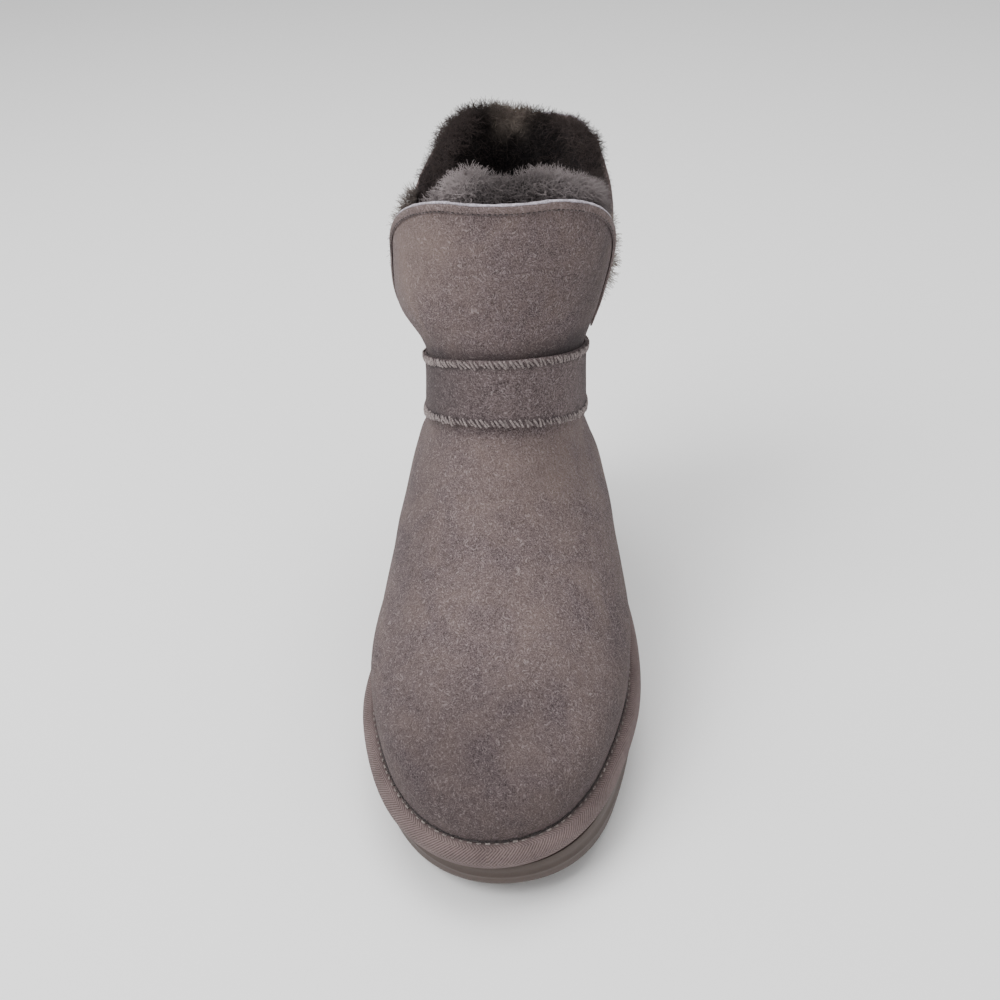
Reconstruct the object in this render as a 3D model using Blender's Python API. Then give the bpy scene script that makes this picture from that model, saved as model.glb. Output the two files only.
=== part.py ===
"""Short sheepskin boot with a split, fold-down shaft, for the left foot.

Metres, +Z up. The toe points along -Y and the wearer's inner side is -X.
The boot stands on Z = 0, centred on the origin by its length and its width.
"""

from collections import namedtuple
from math import cos, pi, radians, sin, sqrt

import bmesh
import bpy
from mathutils import Vector

# Main sizes of the last and the shaft
FOOT_LENGTH = 0.246
BALL_WIDTH = 0.098
ANKLE_WIDTH = 0.061
COLLAR_WIDTH = 0.083
VAMP_LENGTH = 0.111
INSTEP_HEIGHT = 0.100
HEEL_HEIGHT = 0.052
HEEL_TUCK = 0.0115
STRAP_WIDTH = 0.025
FRONT_FLAP_HEIGHT = 0.054
BACK_FLAP_HEIGHT = 0.095
FRONT_FLAP_LEAN = 0.010
BACK_FLAP_LEAN = 0.004
TOE_SWAY = 0.001
SHAFT_SWAY = 0.0023

# Walls and clearances
WALL = 0.0022
CLEARANCE = 0.0003
STRAP_THICKNESS = 0.0018
BINDING_THICKNESS = 0.0008
BINDING_WIDTH = 0.0026
BINDING_REACH = 0.45

# Sole
SOLE_TOE_THICKNESS = 0.018
SOLE_HEEL_THICKNESS = 0.0215
SOLE_OVERHANG = 0.0046
SOLE_SHIFT = 0.0025
SOLE_SHIFT_END = 0.30
TOE_SPRING = 0.008
SPRING_START = 0.24
ARCH_RELIEF = 0.0018
ARCH_START = 0.44
ARCH_END = 0.70
HEEL_LIFT = 0.0015
HEEL_LIFT_START = 0.93
TREAD_DEPTH = 0.0025
TREAD_PITCH = 0.0105
TREAD_GROOVE = 0.0032
TREAD_MARGIN = 0.009
TREAD_BEND = 0.005
TAPE_BULGE = 0.0060
INSOLE_THICKNESS = 0.006

# Fleece
PILE = 0.0115
FRONT_PILE_RISE = 0.0155
BACK_PILE_RISE = 0.010
TUFT = 0.0028

# Flaps, in degrees round the shaft from the front or the back
FLAP_SIDE_ANGLE = 88.0
FLAP_NARROWING = 8.0

# Mesh
FLAP_COLUMNS = 12
FOOT_STEPS = 2
FLAP_ROWS = 7
FLEECE_COLUMNS = 20

# Outline of the foot and of the shaft, as shares of an ellipse's half width.
# along: toe 0 to heel 1. sway: share of TOE_SWAY towards the inner side.
Outline = namedtuple("Outline", "along inner outer shaft sway")
OUTLINE = (
    Outline(0.00, 1.24, 1.32, 1.16, 1.00),
    Outline(0.06, 1.19, 1.22, 1.14, 0.90),
    Outline(0.15, 1.13, 1.12, 1.10, 0.60),
    Outline(0.28, 1.075, 1.065, 1.04, 0.20),
    Outline(0.42, 0.94, 0.98, 1.00, 0.00),
    Outline(0.56, 0.82, 0.89, 0.99, 0.00),
    Outline(0.72, 0.78, 0.83, 1.00, 0.00),
    Outline(0.86, 0.92, 0.94, 1.03, 0.00),
    Outline(0.95, 1.10, 1.10, 1.07, 0.00),
    Outline(1.00, 1.20, 1.20, 1.08, 0.00),
)

# Rings of the foot, from the sole up to the strap's lower edge.
# front_in: share of VAMP_LENGTH behind the toe. front_up: share of INSTEP_HEIGHT.
# back_in: share of HEEL_TUCK. back_up: share of HEEL_HEIGHT.
# girth: 0 at the ankle's width, 1 at the ball's. shaft: 0 foot outline, 1 shaft outline.
# sway: share of SHAFT_SWAY towards the outer side.
Ring = namedtuple("Ring", "front_in front_up back_in back_up girth shaft sway")
FOOT_RINGS = (
    Ring(0.022, 0.000, 0.30, 0.000, 0.840, 0.00, 0.00),
    Ring(0.002, 0.096, 0.22, 0.154, 0.940, 0.00, 0.00),
    Ring(0.000, 0.190, 0.04, 0.385, 1.000, 0.00, 0.00),
    Ring(0.061, 0.275, 0.00, 0.530, 0.985, 0.05, 0.00),
    Ring(0.214, 0.365, 0.04, 0.635, 0.855, 0.15, 0.00),
    Ring(0.405, 0.470, 0.17, 0.715, 0.730, 0.35, 0.00),
    Ring(0.605, 0.597, 0.39, 0.798, 0.605, 0.60, -0.20),
    Ring(0.783, 0.727, 0.61, 0.873, 0.390, 0.85, -0.60),
    Ring(0.917, 0.868, 0.83, 0.936, 0.190, 1.00, -0.80),
    Ring(1.000, 1.000, 1.00, 1.000, 0.020, 1.00, -0.10),
)

# Rings of the shaft above the strap's upper edge.
# up: share of the flap's height. lean: share of the flap's lean.
# flare: 0 at the ankle's width, 1 at the collar's.
# front_sway and back_sway: share of SHAFT_SWAY towards the outer side.
ShaftRing = namedtuple("ShaftRing", "up front_lean back_lean flare front_sway back_sway")
SHAFT_RINGS = (
    ShaftRing(0.00, 0.30, -0.75, 0.00, 0.20, 0.20),
    ShaftRing(0.30, 0.42, -0.75, 0.78, -0.90, 0.00),
    ShaftRing(0.64, 0.67, -0.25, 1.06, 0.00, 1.40),
    ShaftRing(1.00, 1.00, 0.25, 1.00, 1.00, 2.30),
)

# Outline of a flap. corner_start: share of the height where its corners begin.
# top_reach: share of the side edge's angle that the rim's flat part takes.
# corner_power: 2 for an elliptic corner, less for a flatter one.
Flap = namedtuple("Flap", "middle corner_start top_reach corner_power")
FRONT_FLAP = Flap(0.0, 0.42, 0.25, 1.6)
BACK_FLAP = Flap(pi, 0.38, 0.34, 1.7)

# Outline of a flap's fleece. drop: share of the flap's height that its corners lie lower.
# drop_power: how late that fall comes. rise: how far the pile stands over the rim.
Fleece = namedtuple("Fleece", "middle drop drop_power rise")
FRONT_FLEECE = Fleece(0.0, 0.26, 1.8, FRONT_PILE_RISE)
BACK_FLEECE = Fleece(pi, 0.22, 3.0, BACK_PILE_RISE)

# Side of the outsole. up: share of its thickness. out: share of SOLE_OVERHANG.
SideStep = namedtuple("SideStep", "up out")
SOLE_SIDE = (
    SideStep(0.00, 0.30),
    SideStep(0.08, 0.66),
    SideStep(0.22, 0.84),
    SideStep(0.46, 0.94),
    SideStep(0.56, 1.00),
    SideStep(0.62, 0.92),
    SideStep(0.88, 0.90),
    SideStep(1.00, 0.84),
)

# Section of the tape. level: ring number, from the bottom edge up.
# out: share of TAPE_BULGE beyond the upper.
TapeStep = namedtuple("TapeStep", "level out")
TAPE_OUTSIDE = (
    TapeStep(0.03, 0.72),
    TapeStep(0.22, 0.93),
    TapeStep(0.48, 1.00),
    TapeStep(0.76, 0.86),
    TapeStep(0.96, 0.55),
    TapeStep(1.05, 0.22),
)
TAPE_INSIDE_LEVELS = (1.02, 0.5, 0.03)

# Section of the strap, from its lower to its upper edge.
# up: share of its width. out: share of its thickness, over 1 at the sewn edges.
StrapStep = namedtuple("StrapStep", "up out")
STRAP_OUTSIDE = (
    StrapStep(0.00, 0.80),
    StrapStep(0.045, 1.30),
    StrapStep(0.12, 1.30),
    StrapStep(0.17, 0.92),
    StrapStep(0.50, 1.05),
    StrapStep(0.83, 0.92),
    StrapStep(0.88, 1.30),
    StrapStep(0.955, 1.30),
    StrapStep(1.00, 0.80),
)
STRAP_INSIDE_SHARES = (1.0, 0.5, 0.0)

# Fleece on a flap: how thick the pile is from the bottom of the pad to its rim.
# level: 0 at the foot of the pad, 1 at the flap's rim. thick: share of PILE.
FleeceStep = namedtuple("FleeceStep", "level thick")
FLEECE_STEPS = (
    FleeceStep(0.00, 0.35),
    FleeceStep(0.12, 0.60),
    FleeceStep(0.24, 0.66),
    FleeceStep(0.333, 0.70),
    FleeceStep(0.45, 0.90),
    FleeceStep(0.60, 1.00),
    FleeceStep(0.75, 1.05),
    FleeceStep(0.89, 1.10),
    FleeceStep(0.98, 1.10),
)
FLEECE_FOOT_LEVEL = 8.0
FLEECE_SLIT = 0.333
FLEECE_SIDE_LOW = 84.0
FLEECE_SIDE_HIGH = 83.0

SOLE_COLOUR = (0.165, 0.135, 0.120, 1.0)
SUEDE_COLOUR = (0.205, 0.170, 0.168, 1.0)
TAPE_COLOUR = (0.190, 0.145, 0.140, 1.0)
BINDING_COLOUR = (0.240, 0.205, 0.210, 1.0)
FLEECE_COLOUR = (0.020, 0.017, 0.019, 1.0)

STRAP_LOW = len(FOOT_RINGS) - 1
STRAP_HIGH = len(FOOT_RINGS)
COLLAR = len(FOOT_RINGS) + len(SHAFT_RINGS) - 1
SLIT_LEVEL = STRAP_HIGH + 0.06
COLUMNS = 4 * (FLAP_COLUMNS + 1)


def smooth(xs, ys, x):
    """Value at x of a smooth curve through the points (xs, ys)."""
    x = min(max(x, xs[0]), xs[-1])
    slopes = [(ys[i + 1] - ys[i]) / (xs[i + 1] - xs[i]) for i in range(len(xs) - 1)]
    tangents = [slopes[0]]
    for i in range(1, len(xs) - 1):
        before, after = xs[i] - xs[i - 1], xs[i + 1] - xs[i]
        tangents.append((slopes[i - 1] * after + slopes[i] * before) / (before + after))
    tangents.append(slopes[-1])
    i = 0
    while i < len(xs) - 2 and x > xs[i + 1]:
        i += 1
    span = xs[i + 1] - xs[i]
    t = (x - xs[i]) / span
    return (
        (2 * t**3 - 3 * t**2 + 1) * ys[i]
        + (t**3 - 2 * t**2 + t) * span * tangents[i]
        + (3 * t**2 - 2 * t**3) * ys[i + 1]
        + (t**3 - t**2) * span * tangents[i + 1]
    )


def column(table, name):
    return [getattr(row, name) for row in table]


def outline(name, along):
    return smooth(column(OUTLINE, "along"), column(OUTLINE, name), along)


def length_shift():
    """Shift that sets the tape's toe and heel equally far from the middle."""
    widest = max(TAPE_OUTSIDE, key=lambda step: step.out).level
    levels = list(range(len(FOOT_RINGS)))
    front = smooth(levels, column(FOOT_RINGS, "front_in"), widest) * VAMP_LENGTH
    back = smooth(levels, column(FOOT_RINGS, "back_in"), widest) * HEEL_TUCK
    return (back - front) / 2


TOE = length_shift() - FOOT_LENGTH / 2
HEEL = length_shift() + FOOT_LENGTH / 2


def length_share(y):
    return (y - TOE) / FOOT_LENGTH


def ring_sizes():
    """Every ring's front and back (y, z), half width, shaft share and sway."""
    front_bottom = SOLE_TOE_THICKNESS + CLEARANCE
    back_bottom = SOLE_HEEL_THICKNESS + CLEARANCE
    rings = []
    for ring in FOOT_RINGS:
        rings.append((
            TOE + ring.front_in * VAMP_LENGTH,
            front_bottom + ring.front_up * INSTEP_HEIGHT,
            HEEL - ring.back_in * HEEL_TUCK,
            back_bottom + ring.back_up * HEEL_HEIGHT,
            (ANKLE_WIDTH + ring.girth * (BALL_WIDTH - ANKLE_WIDTH)) / 2,
            ring.shaft,
            ring.sway * SHAFT_SWAY,
            ring.sway * SHAFT_SWAY,
        ))
    front_y, front_z, back_y, back_z = rings[-1][:4]
    for ring in SHAFT_RINGS:
        rings.append((
            front_y + ring.front_lean * FRONT_FLAP_LEAN,
            front_z + STRAP_WIDTH + ring.up * FRONT_FLAP_HEIGHT,
            back_y + ring.back_lean * BACK_FLAP_LEAN,
            back_z + STRAP_WIDTH + ring.up * BACK_FLAP_HEIGHT,
            (ANKLE_WIDTH + ring.flare * (COLLAR_WIDTH - ANKLE_WIDTH)) / 2,
            1.0,
            ring.front_sway * SHAFT_SWAY,
            ring.back_sway * SHAFT_SWAY,
        ))
    return rings


RINGS = ring_sizes()
RING_LEVELS = list(range(len(RINGS)))


def upper_point(angle, level):
    """Outer face of the upper. angle: 0 at the toe, pi at the heel. level: ring number."""
    front_y, front_z, back_y, back_z, half_width, shaft, front_sway, back_sway = (
        smooth(RING_LEVELS, [ring[k] for ring in RINGS], level) for k in range(8)
    )
    along = (1 - cos(angle)) / 2
    side = "outer" if sin(angle) > 0 else "inner"
    foot = outline(side, along)
    full = foot + shaft * (outline("shaft", along) - foot)
    inward = (1 - shaft) * TOE_SWAY * outline("sway", along)
    outward = front_sway + (back_sway - front_sway) * along
    return Vector((
        half_width * sin(angle) * full - inward + outward,
        front_y + (back_y - front_y) * along,
        front_z + (back_z - front_z) * along,
    ))


def upper_normal(angle, level):
    """Direction straight out of the upper."""
    step = 1e-3
    low, high = max(level - step, 0), min(level + step, COLLAR)
    round_it = upper_point(angle + step, level) - upper_point(angle - step, level)
    up_it = upper_point(angle, high) - upper_point(angle, low)
    return round_it.cross(up_it).normalized()


def offset_point(angle, level, out):
    """Point that far outside the upper's outer face, or inside it where out is negative."""
    return upper_point(angle, level) + out * upper_normal(angle, level)


def level_offset(angle, level, out):
    """Point that far outside the upper, at the same height."""
    normal = upper_normal(angle, level)
    return upper_point(angle, level) + out * Vector((normal.x, normal.y, 0)).normalized()


def sole_plan(angle, out):
    """Point (x, y) beside the upper's bottom edge, level with it."""
    normal = upper_normal(angle, 0.5)
    flat = Vector((normal.x, normal.y)).normalized()
    edge = upper_point(angle, 0)
    return Vector((edge.x, edge.y)) + out * flat


def sole_shift(y):
    """How far the outsole sits towards the outer side, under the toe."""
    share = length_share(y)
    before = min(max(1 - share / SOLE_SHIFT_END, 0.0), 1.0)
    return SOLE_SHIFT * before * before * (3 - 2 * before)


def sole_top(y):
    """Height of the outsole's upper face."""
    share = length_share(y)
    return SOLE_TOE_THICKNESS + share * (SOLE_HEEL_THICKNESS - SOLE_TOE_THICKNESS)


def sole_bottom(y):
    """Height of the outsole's walking face, with its toe spring, arch and heel lift."""
    share = length_share(y)
    before = max(0.0, SPRING_START - share) / SPRING_START
    arch = min(max((share - ARCH_START) / (ARCH_END - ARCH_START), 0.0), 1.0)
    behind = max(0.0, share - HEEL_LIFT_START) / (1 - HEEL_LIFT_START)
    return TOE_SPRING * before**1.8 + ARCH_RELIEF * sin(pi * arch) ** 2 + HEEL_LIFT * behind**2


def ring_angles():
    """Angles of the columns round the boot, with a narrow pair at each side slit."""
    step = radians(FLAP_SIDE_ANGLE) / FLAP_COLUMNS
    front = [i * step for i in range(FLAP_COLUMNS + 1)]
    back = [pi - angle for angle in reversed(front)]
    half = front + [pi / 2] + back
    return half + [2 * pi - angle for angle in reversed(half[1:-1])]


ANGLES = ring_angles()


def flap_side(flap, height):
    """Angle of a flap's side edge, from the flap's middle. height: 0 slit, 1 rim."""
    start = flap.corner_start
    side = radians(FLAP_SIDE_ANGLE) - radians(FLAP_NARROWING) * min(height / start, 1)
    if height <= start:
        return side
    power = flap.corner_power
    left = 1 - ((height - start) / (1 - start)) ** power
    top = flap.top_reach * side
    return top + (side - top) * max(0.0, left) ** (1 / power)


def flap_place(flap, across, height):
    """Angle and level on a flap. across: -1 to 1."""
    height = max(height, 0.0)
    angle = flap.middle + across * flap_side(flap, min(height, 1.0))
    return angle, SLIT_LEVEL + (COLLAR - SLIT_LEVEL) * height


def new_object(name, mesh, parts, smooth_faces=True):
    obj = bpy.data.objects.new(name, mesh)
    parts.objects.link(obj)
    if smooth_faces:
        mesh.shade_smooth()
        mesh.set_sharp_from_angle(angle=radians(40))
    return obj


def loft(name, rows, parts, round_rows=True, closed_section=False, caps=None):
    """Mesh through rows of points. caps: None, 'ladder' for plan outlines or 'ends'."""
    shape = bmesh.new()
    made = [[shape.verts.new(point) for point in row] for row in rows]
    across = len(made[0])
    around = range(across if round_rows else across - 1)
    pairs = list(zip(made, made[1:]))
    if closed_section:
        pairs.append((made[-1], made[0]))
    for low, high in pairs:
        for i in around:
            j = (i + 1) % across
            shape.faces.new((low[i], low[j], high[j], high[i]))
    if caps == "ladder":
        for row in (made[0], made[-1]):
            half = across // 2
            shape.faces.new((row[0], row[1], row[-1]))
            for i in range(1, half - 1):
                shape.faces.new((row[i], row[i + 1], row[-i - 1], row[-i]))
            shape.faces.new((row[half - 1], row[half], row[half + 1]))
    if caps == "ends":
        shape.faces.new([row[0] for row in made])
        shape.faces.new([row[-1] for row in made])
    bmesh.ops.recalc_face_normals(shape, faces=shape.faces)
    mesh = bpy.data.meshes.new(name)
    shape.to_mesh(mesh)
    shape.free()
    return new_object(name, mesh, parts)


def material(name, colour, roughness):
    made = bpy.data.materials.new(name)
    made.use_nodes = True
    shader = made.node_tree.nodes["Principled BSDF"]
    shader.inputs["Base Color"].default_value = colour
    shader.inputs["Roughness"].default_value = roughness
    shader.inputs["Metallic"].default_value = 0.0
    made.diffuse_color = colour
    return made


def dress(obj, finish):
    obj.data.materials.clear()
    obj.data.materials.append(finish)
    return obj


def foot_levels():
    """Ring levels of the upper's closed part, from the bottom edge to the slit."""
    levels = [i / FOOT_STEPS for i in range(FOOT_STEPS * STRAP_HIGH + 1)]
    return levels + [SLIT_LEVEL]


def upper_levels(steps):
    """Ring levels of the upper's closed part, from the bottom edge to the slits."""
    return [i / steps for i in range(steps * STRAP_HIGH + 1)] + [SLIT_LEVEL]


def flap_rows(flap):
    """Places (angle, level) on a flap, row by row, above the slits."""
    rows = []
    for k in range(1, FLAP_ROWS + 1):
        height = sin(pi / 2 * k / FLAP_ROWS)
        rows.append([
            flap_place(flap, i / FLAP_COLUMNS, height)
            for i in range(-FLAP_COLUMNS, FLAP_COLUMNS + 1)
        ])
    return rows


def upper_face(shape, steps, out):
    """One face of the upper's wall: closed rings, then both flaps. Returns its edges."""
    rows = [
        [shape.verts.new(offset_point(angle, level, out)) for angle in ANGLES]
        for level in upper_levels(steps)
    ]
    for low, high in zip(rows, rows[1:]):
        for i in range(COLUMNS):
            j = (i + 1) % COLUMNS
            shape.faces.new((low[i], low[j], high[j], high[i]))
    top = rows[-1]
    reach = range(-FLAP_COLUMNS, FLAP_COLUMNS + 1)
    grids = []
    for flap, centre in ((FRONT_FLAP, 0), (BACK_FLAP, COLUMNS // 2)):
        grid = [[top[(centre + i) % COLUMNS] for i in reach]]
        for places in flap_rows(flap):
            grid.append([shape.verts.new(offset_point(*place, out)) for place in places])
        for low, high in zip(grid, grid[1:]):
            for i in range(2 * FLAP_COLUMNS):
                shape.faces.new((low[i], low[i + 1], high[i + 1], high[i]))
        grids.append(grid)
    rim = []
    for grid, centre in zip(grids, (0, COLUMNS // 2)):
        rim += [row[0] for row in grid[:-1]] + grid[-1]
        rim += [row[-1] for row in reversed(grid[:-1])]
        rim.append(top[(centre + FLAP_COLUMNS + 1) % COLUMNS])
    return rows[0], rim


def make_upper(parts):
    """Hollow wall of the upper, open at the collar, the side slits and underneath."""
    shape = bmesh.new()
    outer = upper_face(shape, FOOT_STEPS, 0.0)
    inner = upper_face(shape, 1, -WALL)
    for outside, inside in zip(outer, inner):
        count = len(outside)
        for i in range(count):
            j = (i + 1) % count
            shape.faces.new((outside[i], outside[j], inside[j], inside[i]))
    bmesh.ops.recalc_face_normals(shape, faces=shape.faces)
    mesh = bpy.data.meshes.new("upper")
    shape.to_mesh(mesh)
    shape.free()
    return new_object("upper", mesh, parts)


def sole_ring(out, height_of):
    plan = [sole_plan(angle, out) for angle in ANGLES]
    return [Vector((p.x, p.y, height_of(p.y))) for p in plan]


def groove_cutter(name, y, depth_z, cutters):
    """Cutter for one bent groove of the tread, as a flat outline with a thickness."""
    angle = min(ANGLES[: COLUMNS // 2], key=lambda a: abs(sole_plan(a, 0).y - y))
    outer = sole_plan(angle, 0).x - TREAD_MARGIN
    inner = -sole_plan(2 * pi - angle, 0).x - TREAD_MARGIN
    centre = (outer - inner) / 2
    half = TREAD_GROOVE / 2
    points = [
        (-inner, y - half), (centre, y - half - TREAD_BEND), (outer, y - half),
        (outer, y + half), (centre, y + half - TREAD_BEND), (-inner, y + half),
    ]
    flat = bpy.data.curves.new(name, "CURVE")
    flat.dimensions = "2D"
    flat.fill_mode = "BOTH"
    below = 0.004
    flat.extrude = (depth_z + below) / 2
    spline = flat.splines.new("POLY")
    spline.points.add(len(points) - 1)
    for point, (px, py) in zip(spline.points, points):
        point.co = (px, py, 0, 1)
    spline.use_cyclic_u = True
    guide = bpy.data.objects.new(name + "_outline", flat)
    cutters.objects.link(guide)
    guide.location.z = (depth_z - below) / 2
    bpy.context.view_layer.update()
    graph = bpy.context.evaluated_depsgraph_get()
    mesh = bpy.data.meshes.new_from_object(guide.evaluated_get(graph))
    cutter = bpy.data.objects.new(name, mesh)
    cutters.objects.link(cutter)
    cutter.matrix_world = guide.matrix_world
    bpy.data.objects.remove(guide)
    solid = bmesh.new()
    solid.from_mesh(mesh)
    bmesh.ops.remove_doubles(solid, verts=solid.verts, dist=1e-5)
    bmesh.ops.recalc_face_normals(solid, faces=solid.faces)
    solid.to_mesh(mesh)
    solid.free()
    cutter.hide_render = True
    cutter.display_type = "WIRE"
    return cutter


def make_outsole(parts, cutters):
    rows = []
    for step in SOLE_SIDE:
        def height(y, up=step.up):
            return sole_bottom(y) + up * (sole_top(y) - sole_bottom(y))
        ring = sole_ring(step.out * SOLE_OVERHANG, height)
        rows.append([point + Vector((sole_shift(point.y), 0, 0)) for point in ring])
    outsole = loft("outsole", rows, parts, caps="ladder")
    first = TOE + 2 * TREAD_MARGIN
    count = int((FOOT_LENGTH - 4 * TREAD_MARGIN) / TREAD_PITCH) + 1
    for i in range(count):
        y = first + i * TREAD_PITCH
        cutter = groove_cutter(f"groove_{i + 1}", y, sole_bottom(y) + TREAD_DEPTH, cutters)
        cut = outsole.modifiers.new(cutter.name, "BOOLEAN")
        cut.operation = "DIFFERENCE"
        cut.solver = "EXACT"
        cut.object = cutter
    return outsole


def make_tape(parts):
    """Binding tape that covers the seam between the upper and the sole."""
    rows = []
    for step in TAPE_OUTSIDE:
        out = CLEARANCE + step.out * TAPE_BULGE
        rows.append([level_offset(angle, step.level, out) for angle in ANGLES])
    for level in TAPE_INSIDE_LEVELS:
        rows.append([level_offset(angle, level, CLEARANCE) for angle in ANGLES])
    return loft("binding_tape", rows, parts, closed_section=True)


def make_insole(parts):
    inset = WALL + CLEARANCE
    steps = ((0.0, 1.0), (0.75, 1.0), (1.0, 2.4))
    rows = []
    for up, grow in steps:
        def height(y, up=up):
            return sole_top(y) + CLEARANCE + up * INSOLE_THICKNESS
        rows.append(sole_ring(-inset * grow, height))
    return loft("insole", rows, parts, caps="ladder")


def make_strap(parts):
    """Band round the ankle, with a raised sewn edge above and below."""
    rows = []
    for step in STRAP_OUTSIDE:
        level = STRAP_LOW + step.up * (STRAP_HIGH - STRAP_LOW)
        out = CLEARANCE + step.out * STRAP_THICKNESS
        rows.append([offset_point(angle, level, out) for angle in ANGLES])
    for up in STRAP_INSIDE_SHARES:
        level = STRAP_LOW + up * (STRAP_HIGH - STRAP_LOW)
        rows.append([offset_point(angle, level, CLEARANCE) for angle in ANGLES])
    return loft("ankle_strap", rows, parts, closed_section=True)


def rim_path(flap):
    """Points and outward directions along a flap's edge, from slit to slit over the top."""
    rows = flap_rows(flap)
    places = [row[0] for row in rows[:-1]] + rows[-1] + [row[-1] for row in reversed(rows[:-1])]
    points = [upper_point(*place) for place in places]
    normals = [upper_normal(*place) for place in places]
    for across, end in ((-1, 0), (1, len(points))):
        foot = upper_point(*flap_place(flap, across, 0))
        beside = min(end, len(points) - 1)
        points.insert(end + (end > 0), points[beside].lerp(foot, BINDING_REACH))
        normals.insert(end + (end > 0), normals[beside])
    return points, normals


def make_binding(name, flap, parts):
    """Strip of suede folded over a flap's edge."""
    points, normals = rim_path(flap)
    outer = CLEARANCE + BINDING_THICKNESS
    section = (
        (2 * CLEARANCE, -BINDING_WIDTH),
        (outer, -BINDING_WIDTH),
        (outer, outer),
        (-WALL - outer, outer),
        (-WALL - outer, CLEARANCE),
        (CLEARANCE, CLEARANCE),
    )
    rows = []
    for out, over in section:
        row = []
        for i, (point, normal) in enumerate(zip(points, normals)):
            before, after = points[max(i - 1, 0)], points[min(i + 1, len(points) - 1)]
            beyond = normal.cross(after - before).normalized()
            row.append(point + out * normal + over * beyond)
        rows.append(row)
    return loft(name, rows, parts, round_rows=False, closed_section=True, caps="ends")


def fleece_place(fleece, across, level):
    """Angle and ring level on a pad. across: -1 to 1. level: 0 at its foot, 1 at the rim."""
    above = max(0.0, (level - FLEECE_SLIT) / (1 - FLEECE_SLIT))
    side = radians(FLEECE_SIDE_LOW + above * (FLEECE_SIDE_HIGH - FLEECE_SIDE_LOW))
    rim = SLIT_LEVEL + (COLLAR - SLIT_LEVEL) * (1 - fleece.drop * abs(across) ** fleece.drop_power)
    if level < FLEECE_SLIT:
        ring = FLEECE_FOOT_LEVEL + (SLIT_LEVEL - FLEECE_FOOT_LEVEL) * level / FLEECE_SLIT
    else:
        ring = SLIT_LEVEL + above * (rim - SLIT_LEVEL)
    return fleece.middle + across * side, ring


def make_fleece(name, fleece, parts):
    """Pile of one flap: a pad behind the leather, with tufts on its face and its rim."""
    behind = -(WALL + 4 * CLEARANCE + BINDING_THICKNESS)
    wave = [sin(pi / 2 * (2 * i / FLEECE_COLUMNS - 1)) for i in range(FLEECE_COLUMNS + 1)]
    rows = []
    for step in FLEECE_STEPS:
        places = [fleece_place(fleece, a, step.level) for a in wave]
        rows.append([offset_point(*place, behind) for place in places])
    over = []
    for i, a in enumerate(wave):
        base = offset_point(*fleece_place(fleece, a, 0.98), behind - 0.35 * PILE)
        over.append(base + Vector((0, 0, fleece.rise * (0.8 + 0.2 * (i % 2)))))
    rows.append(over)
    for n, step in enumerate(reversed(FLEECE_STEPS)):
        row = []
        for i, a in enumerate(wave):
            edge = sqrt(max(0.0, 1 - abs(a) ** 6))
            tuft = TUFT * edge * ((i + n) % 2)
            thick = step.thick * PILE * (0.45 + 0.55 * edge) + tuft
            lift = 0.6 * fleece.rise if n == 0 else 0.0
            place = fleece_place(fleece, a, step.level)
            row.append(offset_point(*place, behind - thick) + Vector((0, 0, lift)))
        rows.append(row)
    return loft(name, rows, parts, round_rows=False, closed_section=True, caps="ends")


def main():
    for obj in list(bpy.data.objects):
        bpy.data.objects.remove(obj)
    parts = bpy.data.collections.new("sheepskin_boot")
    cutters = bpy.data.collections.new("cutters")
    for group in (parts, cutters):
        bpy.context.scene.collection.children.link(group)
    suede = material("suede", SUEDE_COLOUR, 0.95)
    rubber = material("sole_foam", SOLE_COLOUR, 0.7)
    tape = material("twill_tape", TAPE_COLOUR, 0.9)
    edge = material("suede_edge", BINDING_COLOUR, 0.9)
    fleece = material("fleece", FLEECE_COLOUR, 1.0)
    dress(make_upper(parts), suede)
    dress(make_outsole(parts, cutters), rubber)
    dress(make_tape(parts), tape)
    dress(make_insole(parts), fleece)
    dress(make_strap(parts), suede)
    dress(make_binding("front_flap_binding", FRONT_FLAP, parts), edge)
    dress(make_binding("back_flap_binding", BACK_FLAP, parts), edge)
    dress(make_fleece("front_fleece", FRONT_FLEECE, parts), fleece)
    dress(make_fleece("back_fleece", BACK_FLEECE, parts), fleece)


main()
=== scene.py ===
"""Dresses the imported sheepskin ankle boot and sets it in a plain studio.

The boot is a left one. Its toe points along -Y and the wearer's inner side is -X.
All sizes are in metres.
"""
import logging
from dataclasses import dataclass
from enum import Enum
from math import cos, pi, radians, sin
from typing import Callable, Optional, Union

import bmesh
import bpy
import numpy as np
from mathutils import Matrix, Vector
from mathutils import noise as field_noise


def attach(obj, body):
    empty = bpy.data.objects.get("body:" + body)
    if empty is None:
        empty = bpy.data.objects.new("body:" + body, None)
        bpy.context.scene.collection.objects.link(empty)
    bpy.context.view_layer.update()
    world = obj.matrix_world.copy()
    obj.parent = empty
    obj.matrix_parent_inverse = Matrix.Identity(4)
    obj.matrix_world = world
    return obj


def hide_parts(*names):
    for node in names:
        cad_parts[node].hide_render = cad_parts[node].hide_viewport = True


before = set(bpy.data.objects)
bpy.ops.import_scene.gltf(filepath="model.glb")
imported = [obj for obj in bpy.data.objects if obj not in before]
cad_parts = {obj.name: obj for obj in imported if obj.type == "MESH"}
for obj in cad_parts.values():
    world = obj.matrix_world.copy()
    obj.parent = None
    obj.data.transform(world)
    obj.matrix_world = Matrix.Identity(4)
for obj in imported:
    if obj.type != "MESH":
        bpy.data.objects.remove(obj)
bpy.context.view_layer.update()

LOG = logging.getLogger("sheepskin_boot")
BODY = "root"
UP = np.array((0.0, 0.0, 1.0))

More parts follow.
